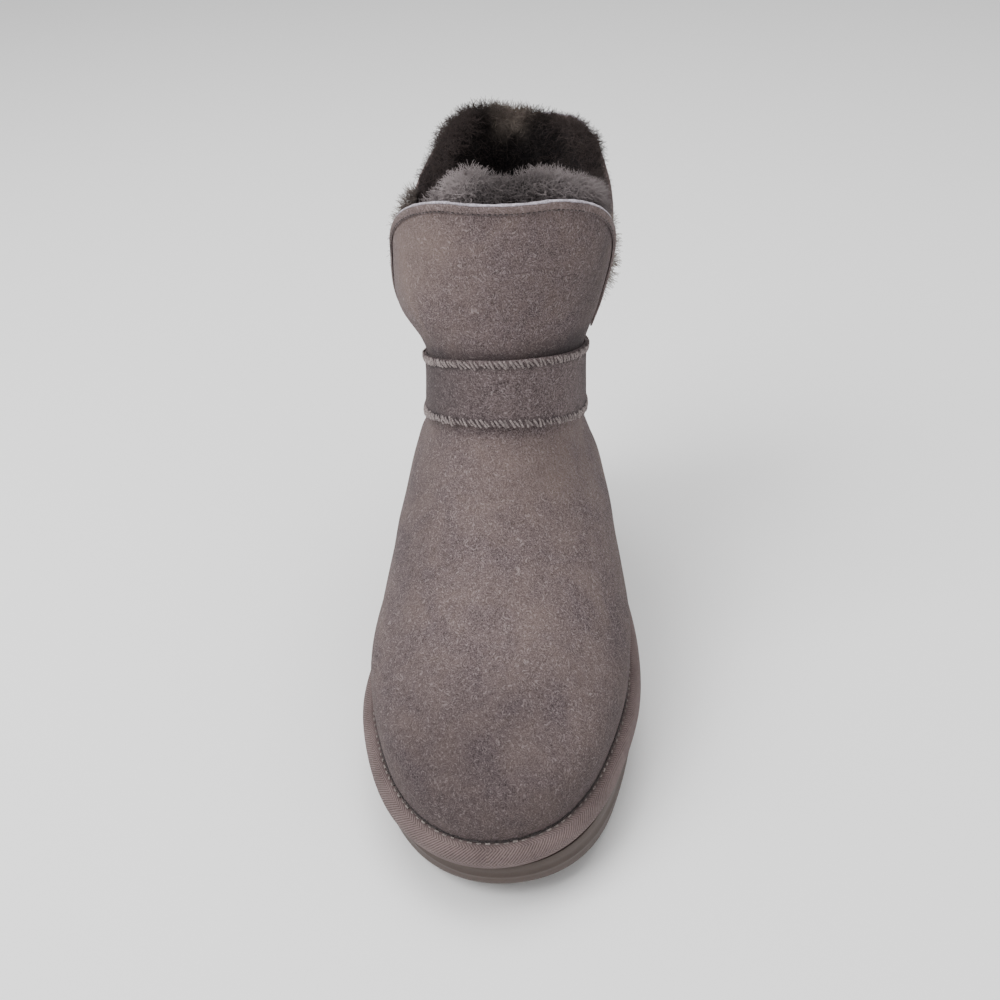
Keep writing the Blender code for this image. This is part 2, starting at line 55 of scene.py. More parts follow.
Array = np.ndarray
Mesh = bpy.types.Mesh
Thing = bpy.types.Object
Paint = bpy.types.Material
Tree = bpy.types.NodeTree
Socket = bpy.types.NodeSocket
Outputs = bpy.types.NodeOutputs
Colour = tuple[float, float, float]
Place = tuple[float, float, float]
Numbers = Union[float, np.ndarray]
Link = Union[Socket, Paint, float, tuple]
Table = tuple[tuple[float, ...], ...]


class Slot(Enum):
    """Material slots of the record. Each piece is handed one, but its finish comes from Look."""

    SUEDE = "suede"
    EDGE = "suede_edge"
    TAPE = "twill_tape"
    SOLE = "sole_foam"
    FLEECE = "fleece"


# ---------------------------------------------------------------- curves and patches


def smooth(xs: Array, ys: Array, x: Numbers) -> Array:
    """Smooth curve through a few points.

    Args:
        xs: rising places of the points.
        ys: values at those places.
        x: where the curve is read, held inside the table's ends.

    Returns:
        The curve's value at each x.
    """
    px, py = np.asarray(xs, float), np.asarray(ys, float)
    x = np.clip(np.asarray(x, float), px[0], px[-1])
    step = np.diff(px)
    slope = np.diff(py) / step
    inner = (slope[:-1] * step[1:] + slope[1:] * step[:-1]) / (step[:-1] + step[1:])
    tangent = np.concatenate(([slope[0]], inner, [slope[-1]]))
    i = np.clip(np.searchsorted(px, x, side="left") - 1, 0, len(px) - 2)
    t = (x - px[i]) / step[i]
    return (
        (2 * t**3 - 3 * t**2 + 1) * py[i]
        + (t**3 - 2 * t**2 + t) * step[i] * tangent[i]
        + (3 * t**2 - 2 * t**3) * py[i + 1]
        + (t**3 - t**2) * step[i] * tangent[i + 1]
    )


def read(table: Table, x: Numbers, column: int = 1) -> Array:
    """Smooth value of a table's column at each x. The first column holds the places."""
    return smooth(np.array(table)[:, 0], np.array(table)[:, column], x)


def unit(vectors: Array) -> Array:
    """Vectors of length one."""
    return vectors / np.maximum(np.linalg.norm(vectors, axis=-1, keepdims=True), 1e-12)


def bell(x: Numbers, middle: float, wide: float) -> Array:
    """Round hump of height one."""
    return np.exp(-((x - middle) / wide) ** 2)


def ramp(x: Numbers, start: float, length: float) -> Array:
    """Rise from 0 to 1 that begins at a place and takes a length."""
    return np.clip((x - start) / length, 0, 1)


def spots(table: Table, angle: Array, level: Array) -> Array:
    """Sum of soft round patches on the leather.

    Args:
        table: rows of angle in degrees from the toe, ring level, width in degrees, height
            in rings, amount and, where it leans, tilt.
        angle: radians round the boot.
        level: ring level.

    Returns:
        The total at each place.
    """
    total = np.zeros(angle.shape)
    for middle, ring, wide, tall, amount, *tilt in table:
        off = (np.degrees(angle) - middle + 180) % 360 - 180
        rise = level - ring - sum(tilt) * off / wide * tall
        total += amount * np.exp(-((off / wide) ** 2) - (rise / tall) ** 2)
    return total


def lumps(points: Array, size: float, seed: float) -> Array:
    """Soft lumps between -1 and 1 that lie in space.

    Args:
        points: places where they are read.
        size: how wide a lump is.
        seed: moves the pattern.

    Returns:
        One value for each place.
    """
    shift = Vector((seed, 2 * seed, -seed))
    made = [field_noise.noise(Vector(place) + shift) for place in points.reshape(-1, 3) / size]
    return np.array(made).reshape(points.shape[:-1])


def distance_along(points: Array, closed: bool = False) -> Array:
    """Distance from the first point along a line of points."""
    line = np.concatenate((points, points[:1])) if closed else points
    return np.concatenate(([0.0], np.cumsum(np.linalg.norm(np.diff(line, axis=0), axis=1))))


# ---------------------------------------------------------------- the boot's form


@dataclass(frozen=True)
class Flap:
    """Leather half of the shaft: its middle angle and the shape of its top corners."""

    middle: float
    corner_start: float
    top_reach: float
    corner_power: float


@dataclass(frozen=True)
class BootForm:
    """The boot's own sizes and the surface that every piece is set on."""

    foot_length: float = 0.246
    ball_width: float = 0.098
    ankle_width: float = 0.061
    collar_width: float = 0.083
    vamp_length: float = 0.111
    instep_height: float = 0.100
    heel_height: float = 0.052
    heel_tuck: float = 0.0115
    strap_width: float = 0.025
    front_flap_height: float = 0.054
    back_flap_height: float = 0.095
    front_flap_lean: float = 0.010
    back_flap_lean: float = 0.004
    toe_sway: float = 0.001
    shaft_sway: float = 0.0023
    wall: float = 0.0022
    clearance: float = 0.0003
    sole_toe: float = 0.018
    sole_heel: float = 0.0215
    sole_shift_size: float = 0.0025
    sole_shift_end: float = 0.30
    toe_spring: float = 0.008
    spring_start: float = 0.24
    arch_relief: float = 0.0018
    arch_start: float = 0.44
    arch_end: float = 0.70
    heel_lift: float = 0.0015
    heel_lift_start: float = 0.93
    strap_low: float = 9.0
    strap_high: float = 10.0
    slit_level: float = 10.06
    collar: float = 13.0
    flap_side_angle: float = 88.0
    flap_narrowing: float = 8.0
    tape_widest: float = 0.48
    ripple: float = 0.00022
    front: Flap = Flap(0.0, 0.42, 0.25, 1.6)
    back: Flap = Flap(pi, 0.38, 0.34, 1.7)
    # along, inner side, outer side, shaft, toe sway
    outline: Table = (
        (0.00, 1.240, 1.320, 1.16, 1.0), (0.06, 1.190, 1.220, 1.14, 0.9),
        (0.15, 1.130, 1.120, 1.10, 0.6), (0.28, 1.075, 1.065, 1.04, 0.2),
        (0.42, 0.940, 0.980, 1.00, 0.0), (0.56, 0.820, 0.890, 0.99, 0.0),
        (0.72, 0.780, 0.830, 1.00, 0.0), (0.86, 0.920, 0.940, 1.03, 0.0),
        (0.95, 1.100, 1.100, 1.07, 0.0), (1.00, 1.200, 1.200, 1.08, 0.0),
    )
    # front in, front up, back in, back up, girth, shaft share, sway
    foot_rings: Table = (
        (0.022, 0.000, 0.30, 0.000, 0.840, 0.00, 0.0),
        (0.002, 0.096, 0.22, 0.154, 0.940, 0.00, 0.0),
        (0.000, 0.190, 0.04, 0.385, 1.000, 0.00, 0.0),
        (0.061, 0.275, 0.00, 0.530, 0.985, 0.05, 0.0),
        (0.214, 0.365, 0.04, 0.635, 0.855, 0.15, 0.0),
        (0.405, 0.470, 0.17, 0.715, 0.730, 0.35, 0.0),
        (0.605, 0.597, 0.39, 0.798, 0.605, 0.60, -0.2),
        (0.783, 0.727, 0.61, 0.873, 0.390, 0.85, -0.6),
        (0.917, 0.868, 0.83, 0.936, 0.190, 1.00, -0.8),
        (1.000, 1.000, 1.00, 1.000, 0.020, 1.00, -0.1),
    )
    # up, front lean, back lean, flare, front sway, back sway
    shaft_rings: Table = (
        (0.00, 0.30, -0.75, 0.00, 0.20, 0.20), (0.30, 0.42, -0.75, 0.78, -0.90, 0.00),
        (0.64, 0.67, -0.25, 1.06, 0.00, 1.40), (1.00, 1.00, 0.25, 1.00, 1.00, 2.30),
    )
    # creases as spots: angle, level, wide, tall, how far they push out, tilt
    creases: Table = (
        (-62, 8.1, 26, 0.55, -0.0009, 0.4), (58, 8.0, 24, 0.60, -0.0010, -0.4),
        (-8, 8.35, 34, 0.28, -0.0005), (-78, 6.3, 16, 0.60, -0.0007, 0.3),
        (80, 6.2, 16, 0.55, -0.0007, -0.3), (-58, 10.9, 15, 0.90, -0.0010),
        (52, 11.1, 14, 0.80, -0.0009), (14, 11.6, 30, 0.60, 0.0004),
        (-30, 12.0, 18, 0.45, -0.0004), (0, 5.0, 22, 2.40, 0.0005),
        (128, 8.3, 20, 0.50, -0.0009), (-126, 8.2, 20, 0.50, -0.0009),
        (180, 7.6, 22, 0.70, -0.0006), (160, 11.2, 18, 0.80, -0.0008),
        (-156, 11.6, 18, 0.70, -0.0008),
    )

    def shift(self) -> float:
        """Shift that sets the tape's toe and heel equally far from the middle."""
        rings = np.array(self.foot_rings)
        levels = np.arange(len(rings))
        front = smooth(levels, rings[:, 0], self.tape_widest) * self.vamp_length
        back = smooth(levels, rings[:, 2], self.tape_widest) * self.heel_tuck
        return float(back - front) / 2

    def toe(self) -> float:
        """Place of the toe along Y."""
        return self.shift() - self.foot_length / 2

    def rings(self) -> Array:
        """Each ring's front and back (y, z), half width, shaft share and sways."""
        made, ankle, sway_size = [], self.ankle_width, self.shaft_sway
        toe, heel = self.toe(), self.shift() + self.foot_length / 2
        for f_in, f_up, b_in, b_up, girth, shaft, sway in self.foot_rings:
            made.append((
                toe + f_in * self.vamp_length,
                self.sole_toe + self.clearance + f_up * self.instep_height,
                heel - b_in * self.heel_tuck,
                self.sole_heel + self.clearance + b_up * self.heel_height,
                (ankle + girth * (self.ball_width - ankle)) / 2,
                shaft, sway * sway_size, sway * sway_size,
            ))
        front_y, front_z, back_y, back_z = made[-1][:4]
        for up, f_lean, b_lean, flare, f_sway, b_sway in self.shaft_rings:
            made.append((
                front_y + f_lean * self.front_flap_lean,
                front_z + self.strap_width + up * self.front_flap_height,
                back_y + b_lean * self.back_flap_lean,
                back_z + self.strap_width + up * self.back_flap_height,
                (ankle + flare * (self.collar_width - ankle)) / 2,
                1.0, f_sway * sway_size, b_sway * sway_size,
            ))
        return np.array(made)

    def point(self, angle: Numbers, level: Numbers) -> Array:
        """Point on the leather's outer face.

        Args:
            angle: radians round the boot, 0 at the toe and pi at the heel.
            level: ring number from the sole up to the collar.

        Returns:
            Places, with x, y and z on the last axis.
        """
        angle, level = np.broadcast_arrays(np.asarray(angle, float), np.asarray(level, float))
        rings = self.rings()
        front_y, front_z, back_y, back_z, half, shaft, front_sway, back_sway = (
            smooth(np.arange(len(rings)), column, level) for column in rings.T
        )
        along = (1 - np.cos(angle)) / 2
        inner, outer, upright, toe = (read(self.outline, along, k) for k in (1, 2, 3, 4))
        foot = np.where(np.sin(angle) > 0, outer, inner)
        full = foot + shaft * (upright - foot)
        outward = front_sway + (back_sway - front_sway) * along
        return np.stack((
            half * np.sin(angle) * full - (1 - shaft) * self.toe_sway * toe + outward,
            front_y + (back_y - front_y) * along,
            front_z + (back_z - front_z) * along,
        ), -1)

    def normal(self, angle: Numbers, level: Numbers) -> Array:
        """Direction straight out of the leather."""
        step, level = 1e-3, np.asarray(level, float)
        low, high = np.maximum(level - step, 0), np.minimum(level + step, self.collar)
        ahead = self.point(angle + step, level) - self.point(angle - step, level)
        return unit(np.cross(ahead, self.point(angle, high) - self.point(angle, low)))

    def sink(self, angle: Numbers, level: Numbers) -> Array:
        """How far the creases push the leather out, negative where it sinks."""
        angle, level = np.broadcast_arrays(np.asarray(angle, float), np.asarray(level, float))
        total = spots(self.creases, angle, level)
        total += (self.ripple * np.sin(5 * angle + 1.7 * level)
                  * np.sin(2.3 * level + 3 * angle + 0.6))
        strap = np.clip(np.abs(level - 9.5) - 0.52, 0, 0.35) / 0.35
        return total * strap * ramp(level, 1.25, 1.2) * np.clip((self.collar - level) / 0.5, 0, 1)

    def offset(self, angle: Numbers, level: Numbers, out: Numbers) -> Array:
        """Point that far outside the leather, with its creases."""
        out = np.asarray(out, float) + self.sink(angle, level)
        return self.point(angle, level) + out[..., None] * self.normal(angle, level)

    def level_offset(self, angle: Numbers, level: Numbers, out: Array) -> Array:
        """Point that far outside the leather, at the same height."""
        flat = self.normal(angle, level) * (1 - UP)
        return self.point(angle, level) + out[..., None] * unit(flat)

    def sole_plan(self, angle: Array, out: Numbers) -> Array:
        """Point (x, y) beside the leather's bottom edge."""
        flat = unit(self.normal(angle, 0.5)[..., :2])
        return self.point(angle, 0.0)[..., :2] + np.asarray(out)[..., None] * flat

    def share(self, y: Numbers) -> Array:
        """Place along the foot, 0 at the toe and 1 at the heel."""
        return (np.asarray(y) - self.toe()) / self.foot_length

    def sole_shift(self, y: Numbers) -> Array:
        """How far the outsole sits towards the outer side, under the toe."""
        before = np.clip(1 - self.share(y) / self.sole_shift_end, 0, 1)
        return self.sole_shift_size * before * before * (3 - 2 * before)

    def sole_top(self, y: Numbers) -> Array:
        """Height of the outsole's upper face."""
        return self.sole_toe + self.share(y) * (self.sole_heel - self.sole_toe)

    def sole_bottom(self, y: Numbers) -> Array:
        """Height of the walking face, with toe spring, arch and heel lift."""
        share = self.share(y)
        before = np.clip(self.spring_start - share, 0, None) / self.spring_start
        arch = ramp(share, self.arch_start, self.arch_end - self.arch_start)
        behind = np.clip(share - self.heel_lift_start, 0, None) / (1 - self.heel_lift_start)
        return (self.toe_spring * before**1.8 + self.arch_relief * np.sin(pi * arch) ** 2
                + self.heel_lift * behind**2)

    def flap_place(self, flap: Flap, across: Numbers, height: Numbers) -> tuple[Array, Array]:
        """Place on a flap.

        Args:
            flap: which one.
            across: -1 to 1 from side edge to side edge.
            height: 0 at the slit, 1 at the rim.

        Returns:
            Angle and ring level.
        """
        start, power = flap.corner_start, flap.corner_power
        side = radians(self.flap_side_angle)
        side = side - radians(self.flap_narrowing) * np.minimum(height / start, 1)
        high, top = ramp(height, start, 1 - start), flap.top_reach * side
        curved = top + (side - top) * np.clip(1 - high**power, 0, None) ** (1 / power)
        angle = flap.middle + across * np.where(height <= start, side, curved)
        level = self.slit_level + (self.collar - self.slit_level) * height
        return np.broadcast_arrays(angle, level)

    def columns(self, count: int) -> Array:
        """Angles round the boot, with a narrow pair of columns at each side slit."""
        front = np.linspace(0, radians(self.flap_side_angle), count + 1)
        half = np.concatenate((front, [pi / 2], pi - front[::-1]))
        return np.concatenate((half, 2 * pi - half[1:-1][::-1]))


FORM = BootForm()


def even_angles(
    line: Callable[[Array], Array], pitch: float, samples: int, uneven: float = 0.0
) -> Array:
    """Angles round the boot that lie evenly along a line.

    Args:
        line: gives the line's points at angles.
        pitch: distance between neighbours.
        samples: how finely the line is measured.
        uneven: how far the spacing strays, 0 for none.

    Returns:
        One angle for each place.
    """
    dense = np.linspace(0, 2 * pi, samples)
    far = distance_along(line(dense))
    count = np.arange(int(round(far[-1] / pitch)))
    stray = uneven * (0.16 * np.sin(count * 2.4) + 0.12 * np.sin(count * 5.9))
    return np.interp((count + stray) * far[-1] / len(count), far, dense)


# ---------------------------------------------------------------- making meshes


class Grid:
    """Faces between rows of points, kept in order so that a seam map can follow them."""

    def __init__(self) -> None:
        """Starts with nothing in it."""
        self.points: list[Array] = []
        self.faces: list[list[int]] = []
        self.maps: list[list[float]] = []
        self.count = 0

    def add(self, rows: Array) -> Array:
        """Adds points. Returns their numbers in the shape of the rows."""
        flat = rows.reshape(-1, 3)
        numbers = np.arange(self.count, self.count + len(flat))
        self.points.append(flat)
        self.count += len(flat)
        return numbers.reshape(rows.shape[:-1])

    def skin(
        self, numbers: Array, round_rows: bool = False, closed: bool = False,
        run: Optional[Array] = None, rise: Optional[Array] = None,
    ) -> None:
        """Covers rows of points with four-sided faces.

        Args:
            numbers: point numbers, one row for each line.
            round_rows: True where each row joins its own start.
            closed: True where the last row joins the first.
            run: distance along each column, one longer than the row where it is closed.
            rise: distance across each row, one longer than the rows where they are closed.
        """
        if closed:
            numbers = np.concatenate((numbers, numbers[:1]))
        if round_rows:
            numbers = np.concatenate((numbers, numbers[:, :1]), 1)
        high, wide = numbers.shape
        run = np.arange(wide) if run is None else run
        rise = np.arange(high) if rise is None else rise
        seam = np.stack(np.meshgrid(run, rise), -1).astype(float)
        for table, kept in ((numbers[..., None], self.faces), (seam, self.maps)):
            corners = (table[:-1, :-1], table[:-1, 1:], table[1:, 1:], table[1:, :-1])
            kept += np.concatenate(corners, -1).reshape(-1, 4 * table.shape[-1]).tolist()

    def face(self, numbers: Union[Array, tuple[int, ...]]) -> None:
        """Adds one face."""
        self.faces.append([int(n) for n in numbers])
        self.maps.append([0.0] * (2 * len(numbers)))

    def lid(self, row: Array) -> None:
        """Closes a row that goes round the sole with strips from side to side."""
        half = len(row) // 2
        self.face((row[0], row[1], row[-1]))
        for i in range(1, half - 1):
            self.face((row[i], row[i + 1], row[-i - 1], row[-i]))
        self.face((row[half - 1], row[half], row[half + 1]))

    def slab(self, rows: Array) -> None:
        """Adds rows that go round the sole, and closes the lowest and the highest."""
        numbers = self.add(rows)
        self.skin(numbers, round_rows=True)
        self.lid(numbers[0])
        self.lid(numbers[-1])

    def bar(self, rows: Array) -> None:
        """Adds rows that run along a bar, joined round it, and closes its ends."""
        numbers = self.add(rows)
        self.skin(numbers, closed=True)
        self.face(numbers[:, 0])
        self.face(numbers[::-1, -1])

    def mesh(self, name: str, seam_map: bool = False, sharp: float = 55.0) -> Mesh:
        """Makes the mesh, with its faces outward.

        Args:
            name: the mesh's name.
            seam_map: True keeps the distances as a UV map called weave.
            sharp: degrees past which an edge stays crisp.

        Returns:
            The new mesh.
        """
        mesh = bpy.data.meshes.new(name)
        mesh.from_pydata(np.concatenate(self.points).tolist(), [], self.faces)
        if seam_map:
            layer = mesh.uv_layers.new(name="weave")
            layer.data.foreach_set("uv", [value for face in self.maps for value in face])
        shape = bmesh.new()
        shape.from_mesh(mesh)
        bmesh.ops.recalc_face_normals(shape, faces=shape.faces)
        shape.to_mesh(mesh)
        shape.free()
        return shaded(mesh, sharp)


def shaded(mesh: Mesh, sharp: float) -> Mesh:
    """The mesh, smooth but for the edges that turn by more than sharp degrees."""
    mesh.shade_smooth()
    mesh.set_sharp_from_angle(angle=radians(sharp))
    mesh.update()
    return mesh


def keep(mesh: Mesh, **fields: Array) -> None:
    """Keeps a number or a direction for each point of a mesh, under each field's name."""
    for name, values in fields.items():
        arrow = np.shape(values)[1:] == (3,)
        kind, key = ("FLOAT_VECTOR", "vector") if arrow else ("FLOAT", "value")
        made = mesh.attributes.new(name, kind, "POINT")
        made.data.foreach_set(key, np.asarray(values, np.float32).ravel())


def table_of(mesh: Mesh, what: str) -> Array:
    """Each point's co or normal."""
    flat = np.empty(len(mesh.vertices) * 3, np.float32)
    mesh.vertices.foreach_get(what, flat)
    return flat.reshape(-1, 3).astype(float)


def link(name: str, data: bpy.types.ID) -> Thing:
    """New object in the scene."""
    made = bpy.data.objects.new(name, data)
    bpy.context.scene.collection.objects.link(made)
    return made


def result_of(thing: Thing, name: str) -> Mesh:
    """What an object's modifiers make, as a plain mesh. The object is removed."""
    bpy.context.view_layer.update()
    graph = bpy.context.evaluated_depsgraph_get()
    mesh = bpy.data.meshes.new_from_object(thing.evaluated_get(graph))
    mesh.name = name
    thing.modifiers.clear()
    bpy.data.objects.remove(thing)
    return mesh


def show(name: str, mesh: Mesh, paint: Paint, node: str = "") -> Thing:
    """Places a finished piece in the scene.

    Args:
        name: the piece's name.
        mesh: its mesh, already in place.
        paint: its material.
        node: the solid that it stands for, where it stands for one.

    Returns:
        The new object.
    """
    piece = link(name, mesh)
    if not mesh.materials:
        mesh.materials.append(paint)
    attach(piece, BODY)
    if node:
        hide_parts(node)
    triangles = sum(len(face.vertices) - 2 for face in mesh.polygons)
    LOG.info("%s: %d triangles", name, triangles)
    return piece


# ---------------------------------------------------------------- node wiring

NUMBER, WHOLE, ARROW = "NodeSocketFloat", "NodeSocketInt", "NodeSocketVector"
MESH, PAINT = "NodeSocketGeometry", "NodeSocketMaterial"
SHADING, GEOMETRY = "ShaderNodeTree", "GeometryNodeTree"


class Wiring:
    """Short way to place and join the nodes of one tree."""

    def __init__(self, tree: Tree) -> None:
        """Works on the given tree."""
        self.tree = tree

    def add(
        self, kind: str, links: Optional[dict[Union[str, int], Link]] = None, **settings: object
    ) -> Outputs:
        """Places a node.

        Args:
            kind: the node's type name.
            links: sockets or plain values for its inputs.
            **settings: the node's own options.

        Returns:
            The node's outputs.
        """
        node = self.tree.nodes.new(kind)
        for key, value in settings.items():
            setattr(node, key, value)
        for key, value in (links or {}).items():
            self.feed(node.inputs[key], value)
        return node.outputs

    def feed(self, socket: Socket, value: Link) -> None:
        """Joins a socket to an input, or sets its plain value."""
        if isinstance(value, Socket):
            self.tree.links.new(value, socket)
        else:
            socket.default_value = value

    def math(self, kind: str, a: Link, b: Link = 0.0, c: Link = 0.0) -> Socket:
        """Arithmetic on numbers."""
        return self.add("ShaderNodeMath", {0: a, 1: b, 2: c}, operation=kind)[0]

    def times(self, a: Link, b: Link) -> Socket:
        """Product of two numbers."""
        return self.math("MULTIPLY", a, b)

    def plus(self, a: Link, b: Link, c: Link) -> Socket:
        """First number times the second, plus the third."""
        return self.math("MULTIPLY_ADD", a, b, c)

    def wave(self, turns: Link) -> Socket:
        """Even wave between 0 and 1."""
        return self.plus(self.math("SINE", self.times(turns, 2 * pi)), 0.5, 0.5)

    def vector(self, kind: str, a: Link, b: Link) -> Socket:
        """Arithmetic on directions and places."""
        return self.add("ShaderNodeVectorMath", {0: a, 1: b}, operation=kind)[0]

    def scaled(self, a: Link, size: Link) -> Socket:
        """A direction or place times a number."""
        return self.add("ShaderNodeVectorMath", {0: a, "Scale": size}, operation="SCALE")[0]

    def cells(self, place: Link, size: Link) -> Socket:
        """A place counted in cells of a size."""
        return self.scaled(place, self.math("DIVIDE", 1.0, size))

    def tint(self, share: Link, low: Link, high: Link) -> Socket:
        """Mix of two colours."""
        low, high = ((*c, 1.0) if isinstance(c, tuple) else c for c in (low, high))
        return self.add("ShaderNodeMix", {0: share, 6: low, 7: high}, data_type="RGBA")[2]

    def span(
        self, value: Link, low: Link, high: Link, start: Link = 0.0, end: Link = 1.0
    ) -> Socket:
        """Moves the numbers from low to high onto those from start to end, held there."""
        ends = {"From Min": low, "From Max": high, "To Min": start, "To Max": end}
        return self.add("ShaderNodeMapRange", {"Value": value, **ends})["Result"]

    def noise(self, place: Link, scale: float, detail: float, rough: float, warp: float) -> Socket:
        """Cloudy pattern between 0 and 1."""
        return self.add("ShaderNodeTexNoise", {
            "Vector": place, "Scale": scale, "Detail": detail, "Roughness": rough,
            "Distortion": warp,
        })[0]

    def drift(self, place: Link, scale: float) -> Socket:
        """Direction that wanders from place to place."""
        cloud = self.add("ShaderNodeTexNoise", {"Vector": place, "Scale": scale, "Detail": 1.0})
        return self.vector("SUBTRACT", cloud["Color"], (0.5, 0.5, 0.5))

    def random(self, low: Link, high: Link, seed: Link) -> Socket:
        """Random number, or random direction where the ends are directions."""
        arrow = isinstance(low, tuple)
        first, kind = (0, "FLOAT_VECTOR") if arrow else (2, "FLOAT")
        links = {first: low, first + 1: high, "Seed": seed}
        return self.add("FunctionNodeRandomValue", links, data_type=kind)[0 if arrow else 1]

    def point(self, **links: Link) -> Socket:
        """Place made of X, Y and Z."""
        return self.add("ShaderNodeCombineXYZ", links)[0]

    def kept(self, name: str, kind: str = "FLOAT_VECTOR") -> Socket:
        """Direction or number kept on the mesh."""
        return self.add("GeometryNodeInputNamedAttribute", {"Name": name}, data_type=kind)[0]

    def mark(self, geometry: Link, name: str, value: Link, domain: str) -> Socket:
        """Keeps a number on the geometry."""
        links = {"Geometry": geometry, "Name": name, "Value": value}
        return self.add("GeometryNodeStoreNamedAttribute", links, data_type="FLOAT",
                        domain=domain)[0]

    def bow(self, steps: int, start: Link, middle: Link, end: Link) -> Socket:
        """Bent line in a few steps."""
        links = {"Resolution": steps, "Start": start, "Middle": middle, "End": end}
        return self.add("GeometryNodeCurveQuadraticBezier", links)[0]

    def tube(self, line: Link, sides: int, radius: Link, scale: Link = 1.0) -> Socket:
        """Closed tube along a line."""
        ring = self.add("GeometryNodeCurvePrimitiveCircle", {"Resolution": sides, "Radius": radius})
        return self.add("GeometryNodeCurveToMesh", {
            "Curve": line, "Profile Curve": ring[0], "Scale": scale, "Fill Caps": True,
        })[0]

    def scatter(self, points: Link, tube: Link, face: Link, way: Link, size: Link) -> Socket:
        """One tube on each point.

        Args:
            points: where they go.
            tube: what goes there.
            face: the direction that its Z takes.
            way: the direction that its X takes.
            size: its scale.

        Returns:
            The copies, not yet real.
        """
        turn = self.add("FunctionNodeAxesToRotation", {0: face, 1: way},
                        primary_axis="Z", secondary_axis="X")
        return self.add("GeometryNodeInstanceOnPoints", {
            "Points": points, "Instance": tube, "Rotation": turn[0], "Scale": size,
        })[0]

    def dress(self, copies: Link, paint: Link) -> Tree:
        """Makes copies real and smooth, gives them their finish and ends the tree."""
        real = self.add("GeometryNodeRealizeInstances", {0: copies})[0]
        soft = self.add("GeometryNodeSetShadeSmooth", {"Geometry": real})[0]
        done = self.add("GeometryNodeSetMaterial", {"Geometry": soft, "Material": paint})[0]
        return self.close(Geometry=done)

    def close(self, **results: Link) -> Tree:
        """Ends the tree with its named results and returns it."""
        kind = MESH if self.tree.bl_idname == GEOMETRY else NUMBER
        for title in results:
            self.tree.interface.new_socket(title, in_out="OUTPUT", socket_type=kind)
        self.add("NodeGroupOutput", results)
        return self.tree


def new_tree(name: str, kind: str, **inputs: Union[str, float, int]) -> tuple[Wiring, Outputs]:
    """Starts a node group.

    Args:
        name: the group's name.
        kind: ShaderNodeTree or GeometryNodeTree.
        **inputs: each input's default value, or its socket type where it has none.

    Returns:
        The wiring and the group's inputs.
    """
    tree = bpy.data.node_groups.new(name, kind)
    for title, value in inputs.items():
        socket = {float: NUMBER, int: WHOLE}.get(type(value), value)
        made = tree.interface.new_socket(title, in_out="INPUT", socket_type=socket)
        if socket != value:
            made.default_value = value
    wiring = Wiring(tree)
    return wiring, wiring.add("NodeGroupInput")


# ---------------------------------------------------------------- finishes


class Patterns:
    """Node groups that more than one finish uses, each built once."""

    def __init__(self) -> None:
        """Builds the groups."""
        self.nap, self.twill, self.grain = self._nap(), self._twill(), self._grain()

    @staticmethod
    def _nap() -> Tree:
        """Brushed nap: fine speckle, short hairs and cloudy patches."""
        w, given = new_tree("brushed_nap", SHADING, Place=ARROW, Speckle=0.0005, Patch=0.018)
        fine = w.cells(given["Place"], given["Speckle"])
        speckle = w.noise(fine, 1.0, 2.0, 0.55, 0.5)
        bent = w.vector("ADD", fine, w.scaled(w.drift(fine, 0.09), 22.0))
        axis = {"Vector": bent, "Axis": (0.8, 0.6, 0.0), "Angle": 0.9}
        turned = w.add("ShaderNodeVectorRotate", axis, rotation_type="AXIS_ANGLE")[0]
        stretched = w.vector("MULTIPLY", turned, (1.0, 1.0, 0.40))
        hairs = w.span(w.noise(stretched, 0.78, 1.0, 0.5, 0.6), 0.56, 0.68)
        patches = w.noise(w.cells(given["Place"], given["Patch"]), 1.0, 5.0, 0.62, 0.4)
        clumps = w.noise(fine, 0.22, 2.0, 0.6, 0.2)
        mixed = w.plus(clumps, 0.18, w.times(speckle, 0.82))
        return w.close(
            Speckle=w.span(mixed, 0.36, 0.64), Hairs=hairs, Patches=w.span(patches, 0.36, 0.64),
            Height=w.plus(clumps, 0.7, w.plus(hairs, 0.4, speckle)),
        )

    @staticmethod
    def _twill() -> Tree:
        """Herringbone tape: slanted ribs that turn back in each stripe."""
        w, given = new_tree("herringbone", SHADING, Along=0.0, Across=0.0, Rib=0.0013,
                            Stripe=0.0042, Yarn=0.0005)
        fold = w.math("PINGPONG", given["Across"], given["Stripe"])
        ahead = w.math("DIVIDE", w.math("ADD", given["Along"], fold), given["Rib"])
        back = w.math("DIVIDE", w.math("SUBTRACT", given["Along"], fold), given["Yarn"])
        return w.close(Rib=w.math("POWER", w.wave(ahead), 0.7), Yarn=w.wave(back))

    @staticmethod
    def _grain() -> Tree:
        """Matte moulded skin: fine pores and faint scuffs."""
        w, given = new_tree("moulded_grain", SHADING, Place=ARROW, Pore=0.0006)
        pores = w.noise(w.cells(given["Place"], given["Pore"]), 1.0, 3.0, 0.6, 0.0)
        long = w.vector("MULTIPLY", given["Place"], (60.0, 60.0, 260.0))
        scuffs = w.noise(long, 1.0, 6.0, 0.7, 0.6)
        return w.close(Pores=w.span(pores, 0.35, 0.65), Scuffs=w.span(scuffs, 0.45, 0.75),
                       Height=w.plus(scuffs, 0.5, pores))


